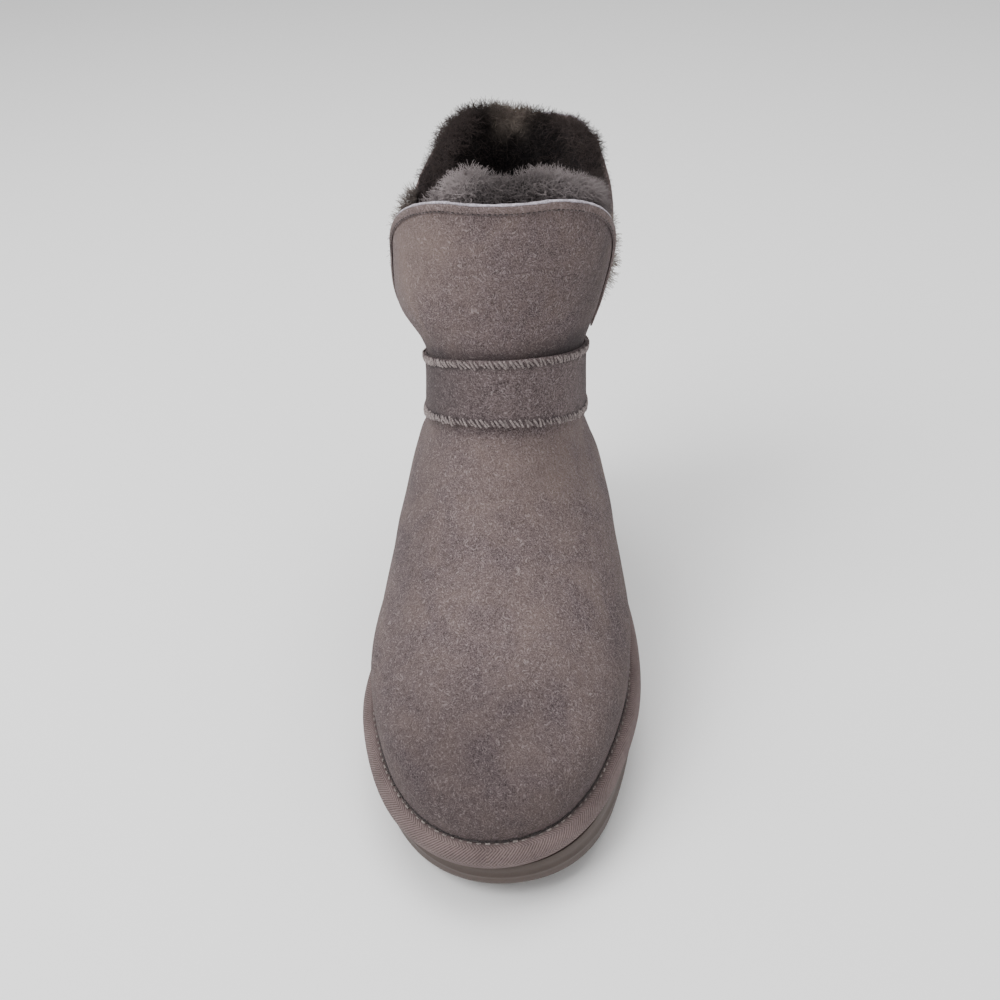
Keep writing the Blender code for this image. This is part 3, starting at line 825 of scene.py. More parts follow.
class Surface:
    """A new material, built up in layers over a base colour."""

    def __init__(self, name: str) -> None:
        """Starts the material."""
        self.material = bpy.data.materials.new(name)
        self.material.use_nodes = True
        self.w = Wiring(self.material.node_tree)
        self.shader = self.material.node_tree.nodes["Principled BSDF"].inputs
        self.base: Link = (0.0, 0.0, 0.0)

    def number(self, name: str) -> Socket:
        """A number kept on the mesh."""
        return self.w.add("ShaderNodeAttribute", attribute_name=name)["Fac"]

    def group(self, tree: Tree, **links: Link) -> Outputs:
        """Results of a shared pattern."""
        return self.w.add("ShaderNodeGroup", links, node_tree=tree)

    def on_object(self, tree: Tree, **links: Link) -> Outputs:
        """Results of a shared pattern that lies in the object's own space."""
        return self.group(tree, Place=self.w.add("ShaderNodeTexCoord")["Object"], **links)

    def layer(self, share: Link, amount: float, colour: Colour) -> None:
        """Lays a colour over the base."""
        self.base = self.w.tint(self.w.times(share, amount), self.base, colour)

    def signed_layers(self, name: str, light: Colour, most: float, dark: Colour) -> None:
        """Lays a light colour where a kept number is above 0 and a dark one below."""
        for end, amount, colour in ((1.0, most, light), (-1.0, 0.8, dark)):
            self.layer(self.w.span(self.number(name), 0.0, end), amount, colour)

    def bump(self, height: Link, strength: float, depth: float) -> None:
        """Feeds the shader's normal from a height."""
        links = {"Height": height, "Strength": strength, "Distance": depth}
        self.w.feed(self.shader["Normal"], self.w.add("ShaderNodeBump", links)[0])

    def close(self, roughness: Link, sheen: float, tint: Colour, specular: float) -> Paint:
        """Feeds the shader and hands the material over.

        Args:
            roughness: socket or number.
            sheen: strength of the velvet edge light.
            tint: its colour.
            specular: strength of the plain shine.

        Returns:
            The finished material.
        """
        for key, value in (
            ("Base Color", self.base), ("Roughness", roughness), ("Sheen Weight", sheen),
            ("Sheen Roughness", 0.55), ("Sheen Tint", (*tint, 1.0)),
            ("Specular IOR Level", specular),
        ):
            self.w.feed(self.shader[key], value)
        return self.material


def dyed(colour: Colour, share: Union[float, Colour]) -> Colour:
    """A colour times a number, or times one for each of its parts."""
    return tuple(np.multiply(share, colour).tolist())


@dataclass(frozen=True)
class SuedeFinish:
    """Napped leather with speckle, brushed patches, short pale hairs and painted light and shade
    from its kept tone.
    """

    name: str
    dark: Colour
    light: Colour
    warm: Colour
    hair: Colour
    speckle_size: float = 0.00050
    patch_size: float = 0.016
    bump: float = 0.6
    hair_share: float = 0.38

    def make(self, patterns: Patterns) -> Paint:
        """Builds the material from the shared patterns."""
        s = Surface(self.name)
        nap = s.on_object(patterns.nap, Speckle=self.speckle_size, Patch=self.patch_size)
        s.base = s.w.tint(nap["Speckle"], self.dark, self.light)
        s.layer(nap["Patches"], 0.30, self.warm)
        s.layer(nap["Hairs"], self.hair_share, self.hair)
        # painted light and shade: the warm colour where the kept tone is above 0, a deep colour
        # where it is below
        s.signed_layers("tone", self.warm, 0.60, dyed(self.dark, (0.28, 0.31, 0.38)))
        s.bump(nap["Height"], self.bump, 0.0004)
        return s.close(0.95, 0.05, (0.92, 0.86, 0.84), 0.08)


@dataclass(frozen=True)
class TapeFinish:
    """Herringbone binding tape."""

    name: str
    deep: Colour
    yarn: Colour
    rib: float = 0.00115
    stripe: float = 0.0052

    def make(self, patterns: Patterns) -> Paint:
        """Builds the material from the shared patterns."""
        s = Surface(self.name)
        seam = s.w.add("ShaderNodeUVMap", uv_map="weave")[0]
        split = s.w.add("ShaderNodeSeparateXYZ", {0: seam})
        weave = s.group(patterns.twill, Along=split[0], Across=split[1], Rib=self.rib,
                        Stripe=self.stripe)
        nap = s.on_object(patterns.nap, Speckle=0.0007)
        share = s.w.plus(weave["Yarn"], 0.2, s.w.times(weave["Rib"], 0.7))
        s.base = s.w.tint(share, self.deep, self.yarn)
        s.layer(nap["Speckle"], 0.25, dyed(self.yarn, 1.3))
        s.layer(nap["Patches"], 0.30, self.deep)
        height = s.w.plus(weave["Yarn"], 0.25, weave["Rib"])
        s.bump(s.w.plus(nap["Height"], 0.12, height), 0.7, 0.00035)
        return s.close(0.88, 0.06, (0.95, 0.88, 0.86), 0.15)


@dataclass(frozen=True)
class FoamFinish:
    """Matte moulded sole."""

    name: str
    base: Colour
    scuff: Colour

    def make(self, patterns: Patterns) -> Paint:
        """Builds the material from the shared patterns."""
        s = Surface(self.name)
        skin = s.on_object(patterns.grain)
        s.base = self.base
        s.layer(skin["Pores"], 0.35, dyed(self.base, 0.72))
        s.layer(skin["Scuffs"], 0.35, self.scuff)
        s.bump(skin["Height"], 0.35, 0.0002)
        return s.close(s.w.span(skin["Scuffs"], 0.0, 1.0, 0.62, 0.80), 0.0, (1, 1, 1), 0.35)


@dataclass(frozen=True)
class WoolFinish:
    """Sheepskin wool: darker at the root, with a tone of its own in each strand."""

    name: str
    root: Colour
    tip: Colour
    tint: Colour
    strands: bool = True

    def make(self, patterns: Patterns) -> Paint:
        """Builds the material from the shared patterns."""
        s = Surface(self.name)
        nap = s.on_object(patterns.nap, Speckle=0.0009, Patch=0.011)
        if self.strands:
            s.base = s.w.tint(s.w.math("POWER", s.number("tip"), 0.9), self.root, self.tip)
            s.layer(s.number("shade"), 0.45, self.tint)
        else:
            s.base = s.w.tint(nap["Speckle"], self.root, self.tip)
            s.bump(nap["Height"], 0.9, 0.0012)
        s.layer(nap["Patches"], 0.75, self.root)
        s.signed_layers("lit", dyed(self.tip, 2.0), 0.8, dyed(self.root, 0.6))
        s.layer(s.number("pale"), 0.85, (0.30, 0.25, 0.215))
        return s.close(0.95, 0.22, self.tint, 0.12)


@dataclass(frozen=True)
class ThreadFinish:
    """Sewing thread or a raw cut edge, with a twist of light and dark."""

    name: str
    deep: Colour
    light: Colour

    def make(self, patterns: Patterns) -> Paint:
        """Builds the material from the shared patterns."""
        s = Surface(self.name)
        nap = s.on_object(patterns.nap, Speckle=0.0006, Patch=0.006)
        s.base = s.w.tint(nap["Speckle"], self.deep, self.light)
        s.layer(nap["Patches"], 0.35, self.deep)
        s.bump(nap["Height"], 0.5, 0.0003)
        return s.close(0.88, 0.25, (1.0, 0.95, 0.92), 0.2)


class Look(Enum):
    """Finish of each kind of piece."""

    SUEDE = SuedeFinish(
        "suede_nap", (0.030, 0.0225, 0.0235), (0.166, 0.128, 0.131), (0.202, 0.149, 0.128),
        (0.43, 0.357, 0.353), speckle_size=0.00042,
    )
    STRAP = SuedeFinish(
        "strap_suede_nap", (0.030, 0.0225, 0.0230), (0.165, 0.129, 0.131), (0.135, 0.102, 0.098),
        (0.42, 0.35, 0.35), speckle_size=0.00052, patch_size=0.010,
    )
    HEM = SuedeFinish(
        "hem_suede_nap", (0.050, 0.038, 0.038), (0.165, 0.128, 0.128), (0.170, 0.128, 0.112),
        (0.38, 0.31, 0.31), bump=0.4,
    )
    OVERCAST = ThreadFinish("overcast_thread", (0.080, 0.062, 0.062), (0.36, 0.30, 0.29))
    DARK_THREAD = ThreadFinish("seam_thread", (0.010, 0.007, 0.008), (0.050, 0.038, 0.038))
    PALE_THREAD = ThreadFinish("tape_thread", (0.10, 0.08, 0.078), (0.34, 0.29, 0.27))
    # pale cut edge, partly the skin's own colour and partly a painted highlight along the rim
    CUT_EDGE_AND_HIGHLIGHT = ThreadFinish("cut_edge_and_highlight_skin", (0.20, 0.175, 0.20), (0.62, 0.58, 0.66))
    TAPE = TapeFinish("herringbone_tape", (0.036, 0.026, 0.026), (0.232, 0.172, 0.166))
    FOAM = FoamFinish("moulded_foam", (0.072, 0.053, 0.046), (0.110, 0.086, 0.078))
    GREY_BODY = WoolFinish("grey_pile", (0.050, 0.044, 0.045), (0.130, 0.114, 0.115),
                           (0.10, 0.09, 0.09), strands=False)
    GREY_WOOL = WoolFinish("grey_wool", (0.088, 0.078, 0.079), (0.245, 0.216, 0.216),
                           (0.120, 0.100, 0.096))
    BLACK_BODY = WoolFinish("black_pile", (0.006, 0.005, 0.0055), (0.024, 0.020, 0.020),
                            (0.03, 0.026, 0.026), strands=False)
    BLACK_WOOL = WoolFinish("black_wool", (0.011, 0.009, 0.009), (0.062, 0.049, 0.047),
                            (0.050, 0.036, 0.030))
    CREAM_WOOL = WoolFinish("cream_wool", (0.17, 0.150, 0.138), (0.54, 0.48, 0.445),
                            (0.10, 0.086, 0.080))
    BEIGE_WOOL = WoolFinish("beige_wool", (0.078, 0.067, 0.065), (0.33, 0.285, 0.272),
                            (0.05, 0.043, 0.041))


# ---------------------------------------------------------------- things that repeat


class Kit:
    """Finishes and the trees for stitches and wool, which the pieces share."""

    def __init__(self) -> None:
        """Builds them all."""
        patterns = Patterns()
        self.paint = {look: look.value.make(patterns) for look in Look}
        self.stitches, self.wool = self._stitches(), self._wool()

    @staticmethod
    def _stitches() -> Tree:
        """One short bowed thread on each point, lying along the point's own direction."""
        w, given = new_tree("stitch_run", GEOMETRY, Geometry=MESH, Length=0.002, Thread=0.0003,
                            Bow=0.0003, Unevenness=0.1, Seed=1, Finish=PAINT)
        half = w.times(given["Length"], 0.5)
        line = w.bow(5, w.point(X=w.times(half, -1.0)), w.point(Z=w.times(given["Bow"], 2.0)),
                     w.point(X=half))
        ends = (w.math(kind, 1.0, given["Unevenness"]) for kind in ("SUBTRACT", "ADD"))
        placed = w.scatter(given["Geometry"], w.tube(line, 6, given["Thread"]),
                           w.kept("outward"), w.kept("along"), w.random(*ends, given["Seed"]))
        return w.dress(placed, given["Finish"])

    @staticmethod
    def _wool() -> Tree:
        """Tapered strands that grow from a surface along its own comb direction."""
        w, given = new_tree(
            "wool_pile", GEOMETRY, Geometry=MESH, Density=800000.0, Length=0.008, Root=0.0003,
            Tip=0.00005, Bend=0.35, Stray=0.25, Clump=0.6, Cell=0.006, Seed=1, Finish=PAINT,
        )
        seeds = [given["Seed"], *(w.math("ADD", given["Seed"], more) for more in (7.0, 3.0, 11.0))]
        spread = w.add("GeometryNodeDistributePointsOnFaces", {
            "Mesh": given["Geometry"], "Seed": given["Seed"],
            "Density": w.times(w.kept("grow", "FLOAT"), given["Density"]),
        })
        line = w.bow(2, (0.0, 0.0, 0.0), (0.0, 0.0, 0.6), w.point(X=given["Bend"], Z=1.0))
        part = w.add("GeometryNodeSplineParameter")["Factor"]
        thin = (w.math("DIVIDE", given[end], given["Length"]) for end in ("Root", "Tip"))
        width = w.span(w.math("POWER", part, 0.8), 0.0, 1.0, *thin)
        marked = {"Curve": w.mark(line, "tip", part, "POINT"), "Radius": width}
        tube = w.tube(w.add("GeometryNodeSetCurveRadius", marked)[0], 3, 1.0, width)
        cells = w.cells(w.add("GeometryNodeInputPosition")[0], given["Cell"])
        lean = w.scaled(w.drift(cells, 1.0), w.times(given["Clump"], 4.0))
        loose, twist = (w.random((-1.0,) * 3, (1.0,) * 3, seed) for seed in seeds[:2])
        way = w.vector("ADD", w.vector("ADD", w.kept("comb"), lean),
                       w.scaled(loose, given["Stray"]))
        reach = w.times(w.random(0.62, 1.12, seeds[2]), w.kept("reach", "FLOAT"))
        placed = w.scatter(spread["Points"], tube, way, twist, w.times(reach, given["Length"]))
        toned = w.mark(placed, "shade", w.random(0.0, 1.0, seeds[3]), "INSTANCE")
        return w.dress(toned, given["Finish"])

    def show(self, name: str, mesh: Mesh, look: Look, slot: Slot, node: str = "") -> Thing:
        """Places a piece in one of the finishes."""
        return show(name, mesh, self.paint[look], node)

    def grow(
        self, tree: Tree, name: str, base: Mesh, look: Look, **values: Union[float, int]
    ) -> Mesh:
        """Runs a tree on a mesh and keeps the result as a plain mesh.

        Args:
            tree: stitches or wool.
            name: name of the new mesh.
            base: points or faces that the tree starts from.
            look: finish of what it makes.
            **values: the tree's inputs, by their names in small letters.

        Returns:
            The plain mesh.
        """
        guide = link(name + "_guide", base)
        step = guide.modifiers.new("repeat", "NODES")
        step.node_group = tree
        keys = {item.name: item.identifier for item in tree.interface.items_tree
                if getattr(item, "in_out", "") == "INPUT"}
        for title, value in {**values, "finish": self.paint[look]}.items():
            step[keys[title.capitalize()]] = value
        return result_of(guide, name)

    def sew(
        self, name: str, points: Array, along: Array, outward: Array, look: Look, slot: Slot,
        **values: Union[float, int],
    ) -> Thing:
        """Sews one run of stitches.

        Args:
            name: the piece's name.
            points: middles of the stitches.
            along: the direction that each lies in.
            outward: the direction that each bows in.
            look: the thread's finish.
            slot: the record's slot; not used.
            **values: length, thread, bow, unevenness and seed.

        Returns:
            The new piece.
        """
        base = bpy.data.meshes.new("stitch_points")
        base.from_pydata(points.tolist(), [], [])
        keep(base, along=along, outward=outward)
        return self.show(name, self.grow(self.stitches, name, base, look, **values), look, slot)


# ---------------------------------------------------------------- the boot's pieces


@dataclass
class Upper:
    """Suede shell: closed foot and ankle, then the two flaps."""

    kit: Kit
    columns: int = 56
    foot_rows: int = 112
    flap_rows: int = 46
    inner_rows: int = 34
    # spots painted lighter (amount above 0) or darker, mostly painted light and shade (lit on the
    # inner flap, shaded towards the toe, the outer side and round the strap) with some brushed
    # patches: angle, level, wide, tall, amount
    light_shade_and_nap_spots: Table = (
        (-44, 11.9, 22, 1.2, 0.60), (-20, 12.4, 26, 0.6, 0.20), (-36, 10.8, 16, 0.4, -0.30),
        (-86, 12.6, 16, 0.6, -0.30), (14, 11.8, 26, 1.0, -0.10), (-84, 11.6, 10, 1.6, -0.20),
        (26, 8.1, 34, 0.9, 0.50), (-46, 6.6, 24, 2.4, -0.26), (-14, 3.5, 30, 1.1, -0.36),
        (8, 5.7, 24, 0.7, 0.20), (10, 4.4, 24, 0.8, -0.20), (0, 1.8, 85, 1.5, -0.48),
        (64, 3.6, 22, 2.0, -0.22), (60, 11.4, 18, 1.5, -0.52), (48, 10.3, 34, 0.28, -0.60),
        (-40, 10.3, 40, 0.24, -0.30), (0, 10.1, 180, 0.14, -0.60), (0, 8.97, 180, 0.12, -0.30),
        (180, 3.5, 60, 1.5, -0.10),
    )

    def lay(self, grid: Grid, angle: Array, level: Array, out: float) -> Array:
        """Adds rows of points and keeps their tone of painted light and shade. Returns their
        numbers.
        """
        angle, level = np.broadcast_arrays(angle, level)
        self.tone.append(np.clip(spots(self.light_shade_and_nap_spots, angle, level), -1, 1).ravel())
        return grid.add(FORM.offset(angle, level, out))

    def face(self, grid: Grid, rows: int, out: float) -> tuple[Array, Array]:
        """Builds one face of the wall.

        Args:
            grid: where the points go.
            rows: rows of the closed part.
            out: distance from the leather's outer face.

        Returns:
            The bottom row, and the line of points along the whole rim.
        """
        angles, n = FORM.columns(self.columns), self.columns
        body = self.lay(grid, angles, np.linspace(0, FORM.slit_level, rows)[:, None], out)
        grid.skin(body, round_rows=True)
        heights = np.sin(pi / 2 * np.arange(1, self.flap_rows + 1) / self.flap_rows)[:, None]
        reach, rim = np.arange(-n, n + 1), []
        for flap, centre in ((FORM.front, 0), (FORM.back, len(angles) // 2)):
            upper = self.lay(grid, *FORM.flap_place(flap, reach / n, heights), out)
            round_it = (centre + np.arange(-n, n + 2)) % len(angles)
            sheet = np.concatenate((body[-1][round_it[:-1]][None, :], upper))
            grid.skin(sheet)
            rim += [sheet[:-1, 0], sheet[-1], sheet[-2::-1, -1], body[-1][round_it[-1:]]]
        return body[0], np.concatenate(rim)

    def build(self) -> None:
        """Builds and dresses the shell."""
        self.tone: list[Array] = []
        grid = Grid()
        outer = self.face(grid, self.foot_rows, 0.0)
        inner = self.face(grid, self.inner_rows, -FORM.wall)
        for lines in zip(outer, inner):
            grid.skin(np.array(lines), round_rows=True)
        mesh = grid.mesh("upper_suede")
        keep(mesh, tone=np.concatenate(self.tone))
        self.kit.show("upper_suede", mesh, Look.SUEDE, Slot.SUEDE, "upper")


@dataclass
class AnkleStrap:
    """Suede band round the ankle with overcast stitches on both edges."""

    kit: Kit
    thickness: float = 0.0018
    stitch_pitch: float = 0.0018
    stitch_length: float = 0.0031
    stitch_lean: float = 36.0
    climb: float = 0.15
    columns: int = 420
    rows: int = 46
    # up, out
    outside: Table = (
        (0.000, 0.40), (0.020, 0.66), (0.045, 0.82), (0.080, 0.90), (0.115, 0.86),
        (0.150, 0.76), (0.200, 0.78), (0.350, 0.88), (0.500, 0.92), (0.650, 0.88),
        (0.800, 0.78), (0.850, 0.76), (0.885, 0.86), (0.920, 0.90), (0.955, 0.82),
        (0.980, 0.66), (1.000, 0.40),
    )

    def at(self, angle: Array, up: Numbers, out: Numbers) -> Array:
        """Point on the strap."""
        return FORM.offset(angle, self.level(angle, up), out)

    def level(self, angle: Array, up: Numbers) -> Array:
        """Ring level on the strap, which climbs towards the outer side."""
        front = 0.07 * np.clip(np.cos(angle), 0, 1) ** 2
        climb = front + self.climb * (-0.50 + 1.25 * up) * np.clip(np.sin(angle), 0, 1) ** 1.6
        return FORM.strap_low + up * (FORM.strap_high - FORM.strap_low) + climb

    def band(self) -> None:
        """The band itself, puckered along its sewn edges."""
        angles = np.linspace(0, 2 * pi, self.columns, endpoint=False)
        run = distance_along(FORM.offset(angles, 9.5, self.thickness), True)
        ups = np.concatenate((np.linspace(0, 1, self.rows), (1.0, 0.5, 0.0)))
        up, shown = ups[:, None], np.arange(len(ups))[:, None] < self.rows
        edge = bell(up, 0.085, 0.05) + bell(up, 0.917, 0.05)
        pucker = 0.10 * edge * np.sin(2 * pi * run[:-1] / self.stitch_pitch + 25 * up)
        out = np.where(shown, np.interp(up, *np.array(self.outside).T) + pucker, 0)
        grid = Grid()
        numbers = grid.add(self.at(angles, up, FORM.clearance + out * self.thickness))
        rise = np.append(ups[:self.rows], 1 + 0.4 * np.arange(1, 5)) * FORM.strap_width
        grid.skin(numbers, True, True, run, rise)
        mesh = grid.mesh("strap_band", seam_map=True)
        side = (np.degrees(angles) + 180) % 360 - 180
        # painted shade along both stitched edges and on the band's inner and outer sides
        tone = -0.55 * bell(up, 0.10, 0.05) - 0.55 * bell(up, 0.90, 0.05)
        keep(mesh, tone=tone - 0.55 * bell(side, -46, 26) - 0.40 * bell(side, 78, 22))
        self.kit.show("strap_band", mesh, Look.STRAP, Slot.SUEDE, "ankle_strap")

    def stitches(self, name: str, up: float) -> None:
        """Slanted stitches over an edge, at a share of the strap's height."""
        out = 0.78 * self.thickness + FORM.clearance
        angle = even_angles(lambda a: self.at(a, up, out), self.stitch_pitch, 2001, 1.0)
        ahead = unit(self.at(angle + 0.01, up, out) - self.at(angle - 0.01, up, out))
        face = FORM.normal(angle, self.level(angle, up))
        count = np.arange(len(angle))[:, None]
        lean = radians(self.stitch_lean) + 0.20 * np.sin(1.9 * count) + 0.10 * np.sin(4.7 * count)
        along = np.cos(lean) * unit(np.cross(face, ahead)) - np.sin(lean) * ahead
        self.kit.sew(name, self.at(angle, up, out), along, face, Look.OVERCAST, Slot.EDGE,
                     length=self.stitch_length, thread=0.00038, bow=0.00026, unevenness=0.26,
                     seed=5)

    def build(self) -> None:
        """Builds the band and its stitches."""
        self.band()
        self.stitches("strap_top_stitches", 0.940)
        self.stitches("strap_bottom_stitches", 0.060)


@dataclass
class FlapHem:
    """Suede strip folded over a flap's edge, its stitch line and the pale cut edge with its painted
    highlight.
    """

    kit: Kit
    name: str
    flap: Flap
    pale_above: float = 0.64
    width: float = 0.0019
    thickness: float = 0.0007
    stitched_above: float = 0.62
    lowest: float = 0.12
    step: float = 0.0006
    pitch: float = 0.0018

    def __post_init__(self) -> None:
        """Lays out even places along the rim, with their directions."""
        heights = np.sin(pi / 2 * np.arange(0, 241) / 240)
        heights = heights[heights >= self.lowest]
        top, sides = np.linspace(-1, 1, 121)[1:-1], np.ones(len(heights))
        angle, level = FORM.flap_place(
            self.flap, np.concatenate((-sides, top, sides)),
            np.concatenate((heights, np.ones(len(top)), heights[::-1])),
        )
        far = distance_along(FORM.point(angle, level))
        even = np.linspace(0, far[-1], int(far[-1] / self.step))
        angle, level = np.interp(even, far, angle), np.interp(even, far, level)
        self.points, self.out = FORM.offset(angle, level, 0.0), FORM.normal(angle, level)
        ahead = np.gradient(self.points, axis=0)
        for _ in range(6):
            ahead[1:-1] = (ahead[:-2] + 2 * ahead[1:-1] + ahead[2:]) / 4
        self.ahead = unit(ahead)
        self.beyond = unit(np.cross(self.out, self.ahead))
        self.height = (level - FORM.slit_level) / (FORM.collar - FORM.slit_level)
        self.far = FORM.clearance + self.thickness

    def strip(self) -> None:
        """The folded strip, rounded over the edge."""
        far, wall = self.far, FORM.wall
        wide = self.width * np.clip((self.height - 0.05) / 0.55, 0.35, 1)
        # out, in along the leather as a share of the width, beyond the edge
        section = (
            (0.3 * far, -1.30, 0), (0.42 * far, -1.15, 0), (0.78 * far, -0.96, 0),
            (far, -0.70, 0), (1.06 * far, -0.35, 0), (far, -0.02, 0),
            (0.85 * far, 0, 0.45 * far), (0.35 * far, 0, 0.9 * far), (-0.3 * far, 0, far),
            (0.3 * far - wall, 0, far), (-0.4 * far - wall, 0, 0.9 * far),
            (-0.9 * far - wall, 0, 0.3 * far), (-0.5 * far - wall, 0, 0.27 * far),
            (0.3 * far, 0, 0.3 * far),
        )
        grid = Grid()
        grid.bar(np.array([
            self.points + a * self.out + (b * wide + c)[:, None] * self.beyond
            for a, b, c in section
        ]))
        mesh = grid.mesh(self.name + "_hem", sharp=70)
        tone = np.zeros((len(section), len(wide)))
        # painted shade along the strip's inner edge, where it steps up from the leather, and a
        # painted highlight on its rounded top
        tone[:2], tone[3:5] = -0.22, 0.12
        keep(mesh, tone=tone)
        self.kit.show(self.name + "_hem", mesh, Look.HEM, Slot.EDGE, self.name + "_binding")

    def pale_line(self) -> None:
        """Raw cut edge of the skin that shows as a pale line on the rim, partly its own colour and
        partly a painted highlight where the rim catches the light.
        """
        high = self.height > self.pale_above
        points, out, beyond = self.points[high], self.out[high], self.beyond[high]
        run = distance_along(points)
        over = (self.height[high] - self.pale_above) / (1 - self.pale_above)
        size = 0.00052 * (1 + 0.22 * np.sin(run * 900) * np.sin(run * 370 + 1))
        size = size * np.clip(over * 1.2, 0.12, 1)
        centre = points + 0.00015 * out + (self.far - 0.0001) * beyond
        grid = Grid()
        grid.bar(np.array([
            centre + (1.35 * size * cos(t))[:, None] * out + (size * sin(t))[:, None] * beyond
            for t in np.linspace(0, 2 * pi, 8, endpoint=False)
        ]))
        name = self.name + "_cut_edge_and_highlight"
        self.kit.show(name, grid.mesh(name), Look.CUT_EDGE_AND_HIGHLIGHT, Slot.EDGE)

    def seam(self) -> None:
        """Running stitches along the strip's inner edge."""
        pick = np.flatnonzero(self.height > self.stitched_above)
        pick = pick[::int(round(self.pitch / self.step))]
        base = self.points - 1.04 * self.width * self.beyond + 0.00062 * self.out
        self.kit.sew(self.name + "_seam", base[pick], self.ahead[pick], self.out[pick],
                     Look.DARK_THREAD, Slot.EDGE, length=0.00080, thread=0.00022, bow=0.00008,
                     unevenness=0.25, seed=9)

    def build(self) -> None:
        """Builds the strip, the pale line and the seam."""
        self.strip()
        self.pale_line()
        self.seam()


@dataclass
class BindingTape:
    """Herringbone tape over the seam between the suede and the sole."""

    kit: Kit
    bulge: float = 0.0060
    columns: int = 400
    rows: int = 30
    # ring level, out
    outside: Table = (
        (0.03, 0.72), (0.22, 0.93), (0.48, 1.00), (0.76, 0.86), (0.96, 0.55), (1.05, 0.22),
    )

    def band(self) -> None:
        """The tape itself."""
        angles = np.linspace(0, 2 * pi, self.columns, endpoint=False)
        levels = np.concatenate((np.linspace(0.03, 1.05, self.rows), (1.02, 0.5, 0.03)))
        shown = np.arange(len(levels)) < self.rows
        out = FORM.clearance + np.where(shown, read(self.outside, levels), 0) * self.bulge
        rows = FORM.level_offset(angles, levels[:, None], out[:, None])
        rise = distance_along(rows[:self.rows, self.columns // 4])
        grid = Grid()
        grid.skin(grid.add(rows), True, True, distance_along(rows[12], True),
                  np.append(rise, rise[-1] + 0.004 * np.arange(1, 5)))
        mesh = grid.mesh("tape", seam_map=True)
        self.kit.show("tape", mesh, Look.TAPE, Slot.TAPE, "binding_tape")

    def row(
        self, name: str, level: float, out: float, pitch: float, look: Look, length: float,
        thread: float,
    ) -> None:
        """Adds one row of stitches along the tape's upper edge.

        Args:
            name: the piece's name.
            level: ring level that the row follows.
            out: distance from the leather.
            pitch: distance between stitches.
            look: the thread's finish.
            length: length of a stitch.
            thread: radius of the thread.
        """
        angle = even_angles(lambda a: FORM.offset(a, level, out), pitch, 3001)
        ahead = unit(FORM.point(angle + 0.01, level) - FORM.point(angle - 0.01, level))
        wave = 0.00018 * np.sin(angle * 61) + 0.00012 * np.sin(angle * 97 + 1)
        self.kit.sew(name, FORM.offset(angle, level, out) + wave[:, None] * UP, ahead,
                     FORM.normal(angle, level), look, Slot.TAPE, length=length, thread=thread,
                     bow=0.0001, unevenness=0.25, seed=3)

    def build(self) -> None:
        """Builds the tape and its two rows of thread: pale stitches, and near-black thread laid
        almost end to end as the painted shade of the seam groove.
        """
        self.band()
        self.row("tape_seam_stitches", 1.06, 0.0009, 0.0030, Look.PALE_THREAD, 0.0013, 0.00030)
        # near-black thread laid almost end to end in the seam groove, as painted shade of the
        # groove
        self.row("tape_seam_groove_shade", 1.09, 0.0001, 0.0021, Look.DARK_THREAD, 0.0019, 0.00034)


@dataclass
class Outsole:
    """Moulded sole with a soft ridge round its side and bent grooves underneath."""

    kit: Kit
    overhang: float = 0.0046
    tread_depth: float = 0.0025
    tread_pitch: float = 0.0105
    tread_groove: float = 0.0032
    tread_margin: float = 0.009
    tread_bend: float = 0.005
    sharp: float = 50.0
    # up, out
    side: Table = (
        (0.00, 0.30), (0.025, 0.50), (0.08, 0.66), (0.22, 0.84), (0.44, 0.93), (0.50, 0.965),
        (0.56, 1.02), (0.62, 0.955), (0.68, 0.91), (0.88, 0.90), (0.96, 0.875), (1.00, 0.84),
    )

    def groove(self, y: float) -> Thing:
        """Bent bar that cuts one groove at a place along Y."""
        angles = np.linspace(0.01, pi - 0.01, 600)
        inner, outer = (
            float(np.interp(y, line[:, 1], line[:, 0])) + inward * self.tread_margin
            for line, inward in ((FORM.sole_plan(2 * pi - angles, 0), 1),
                                 (FORM.sole_plan(angles, 0), -1))
        )
        x, middle = np.linspace(inner, outer, 17), (inner + outer) / 2
        bend = y - self.tread_bend * (1 - ((x - middle) / (outer - middle)) ** 2)
        half = self.tread_groove / 2
        across = np.concatenate((x, x[::-1]))
        along = np.concatenate((bend - half, bend[::-1] + half))
        grid = Grid()
        rows = grid.add(np.array([
            np.stack((across, along, np.full(len(x) * 2, z)), -1)
            for z in (-0.004, float(FORM.sole_bottom(y)) + self.tread_depth)
        ]))
        grid.skin(rows, round_rows=True)
        grid.face(rows[0][::-1])
        grid.face(rows[1])
        return link("groove", grid.mesh("groove"))

    def build(self) -> None:
        """Builds the sole, cuts its tread and dresses it."""
        up = np.linspace(0, 1, 34)[:, None]
        plan = FORM.sole_plan(FORM.columns(52), read(self.side, up) * self.overhang)
        x, y = plan[..., 0], plan[..., 1]
        low, high = FORM.sole_bottom(y), FORM.sole_top(y)
        grid = Grid()
        grid.slab(np.stack((x + FORM.sole_shift(y), y, low + up * (high - low)), -1))
        body = link("sole_body", grid.mesh("sole_body", sharp=self.sharp))
        first = FORM.toe() + 2 * self.tread_margin
        count = int((FORM.foot_length - 4 * self.tread_margin) / self.tread_pitch) + 1
        cutters = [self.groove(first + i * self.tread_pitch) for i in range(count)]
        for cutter in cutters:
            cut = body.modifiers.new("groove", "BOOLEAN")
            cut.operation, cut.solver, cut.object = "DIFFERENCE", "EXACT", cutter
        mesh = shaded(result_of(body, "outsole_foam"), self.sharp)
        for cutter in cutters:
            bpy.data.objects.remove(cutter)
        mesh.materials.clear()
        self.kit.show("outsole_foam", mesh, Look.FOAM, Slot.SOLE, "outsole")


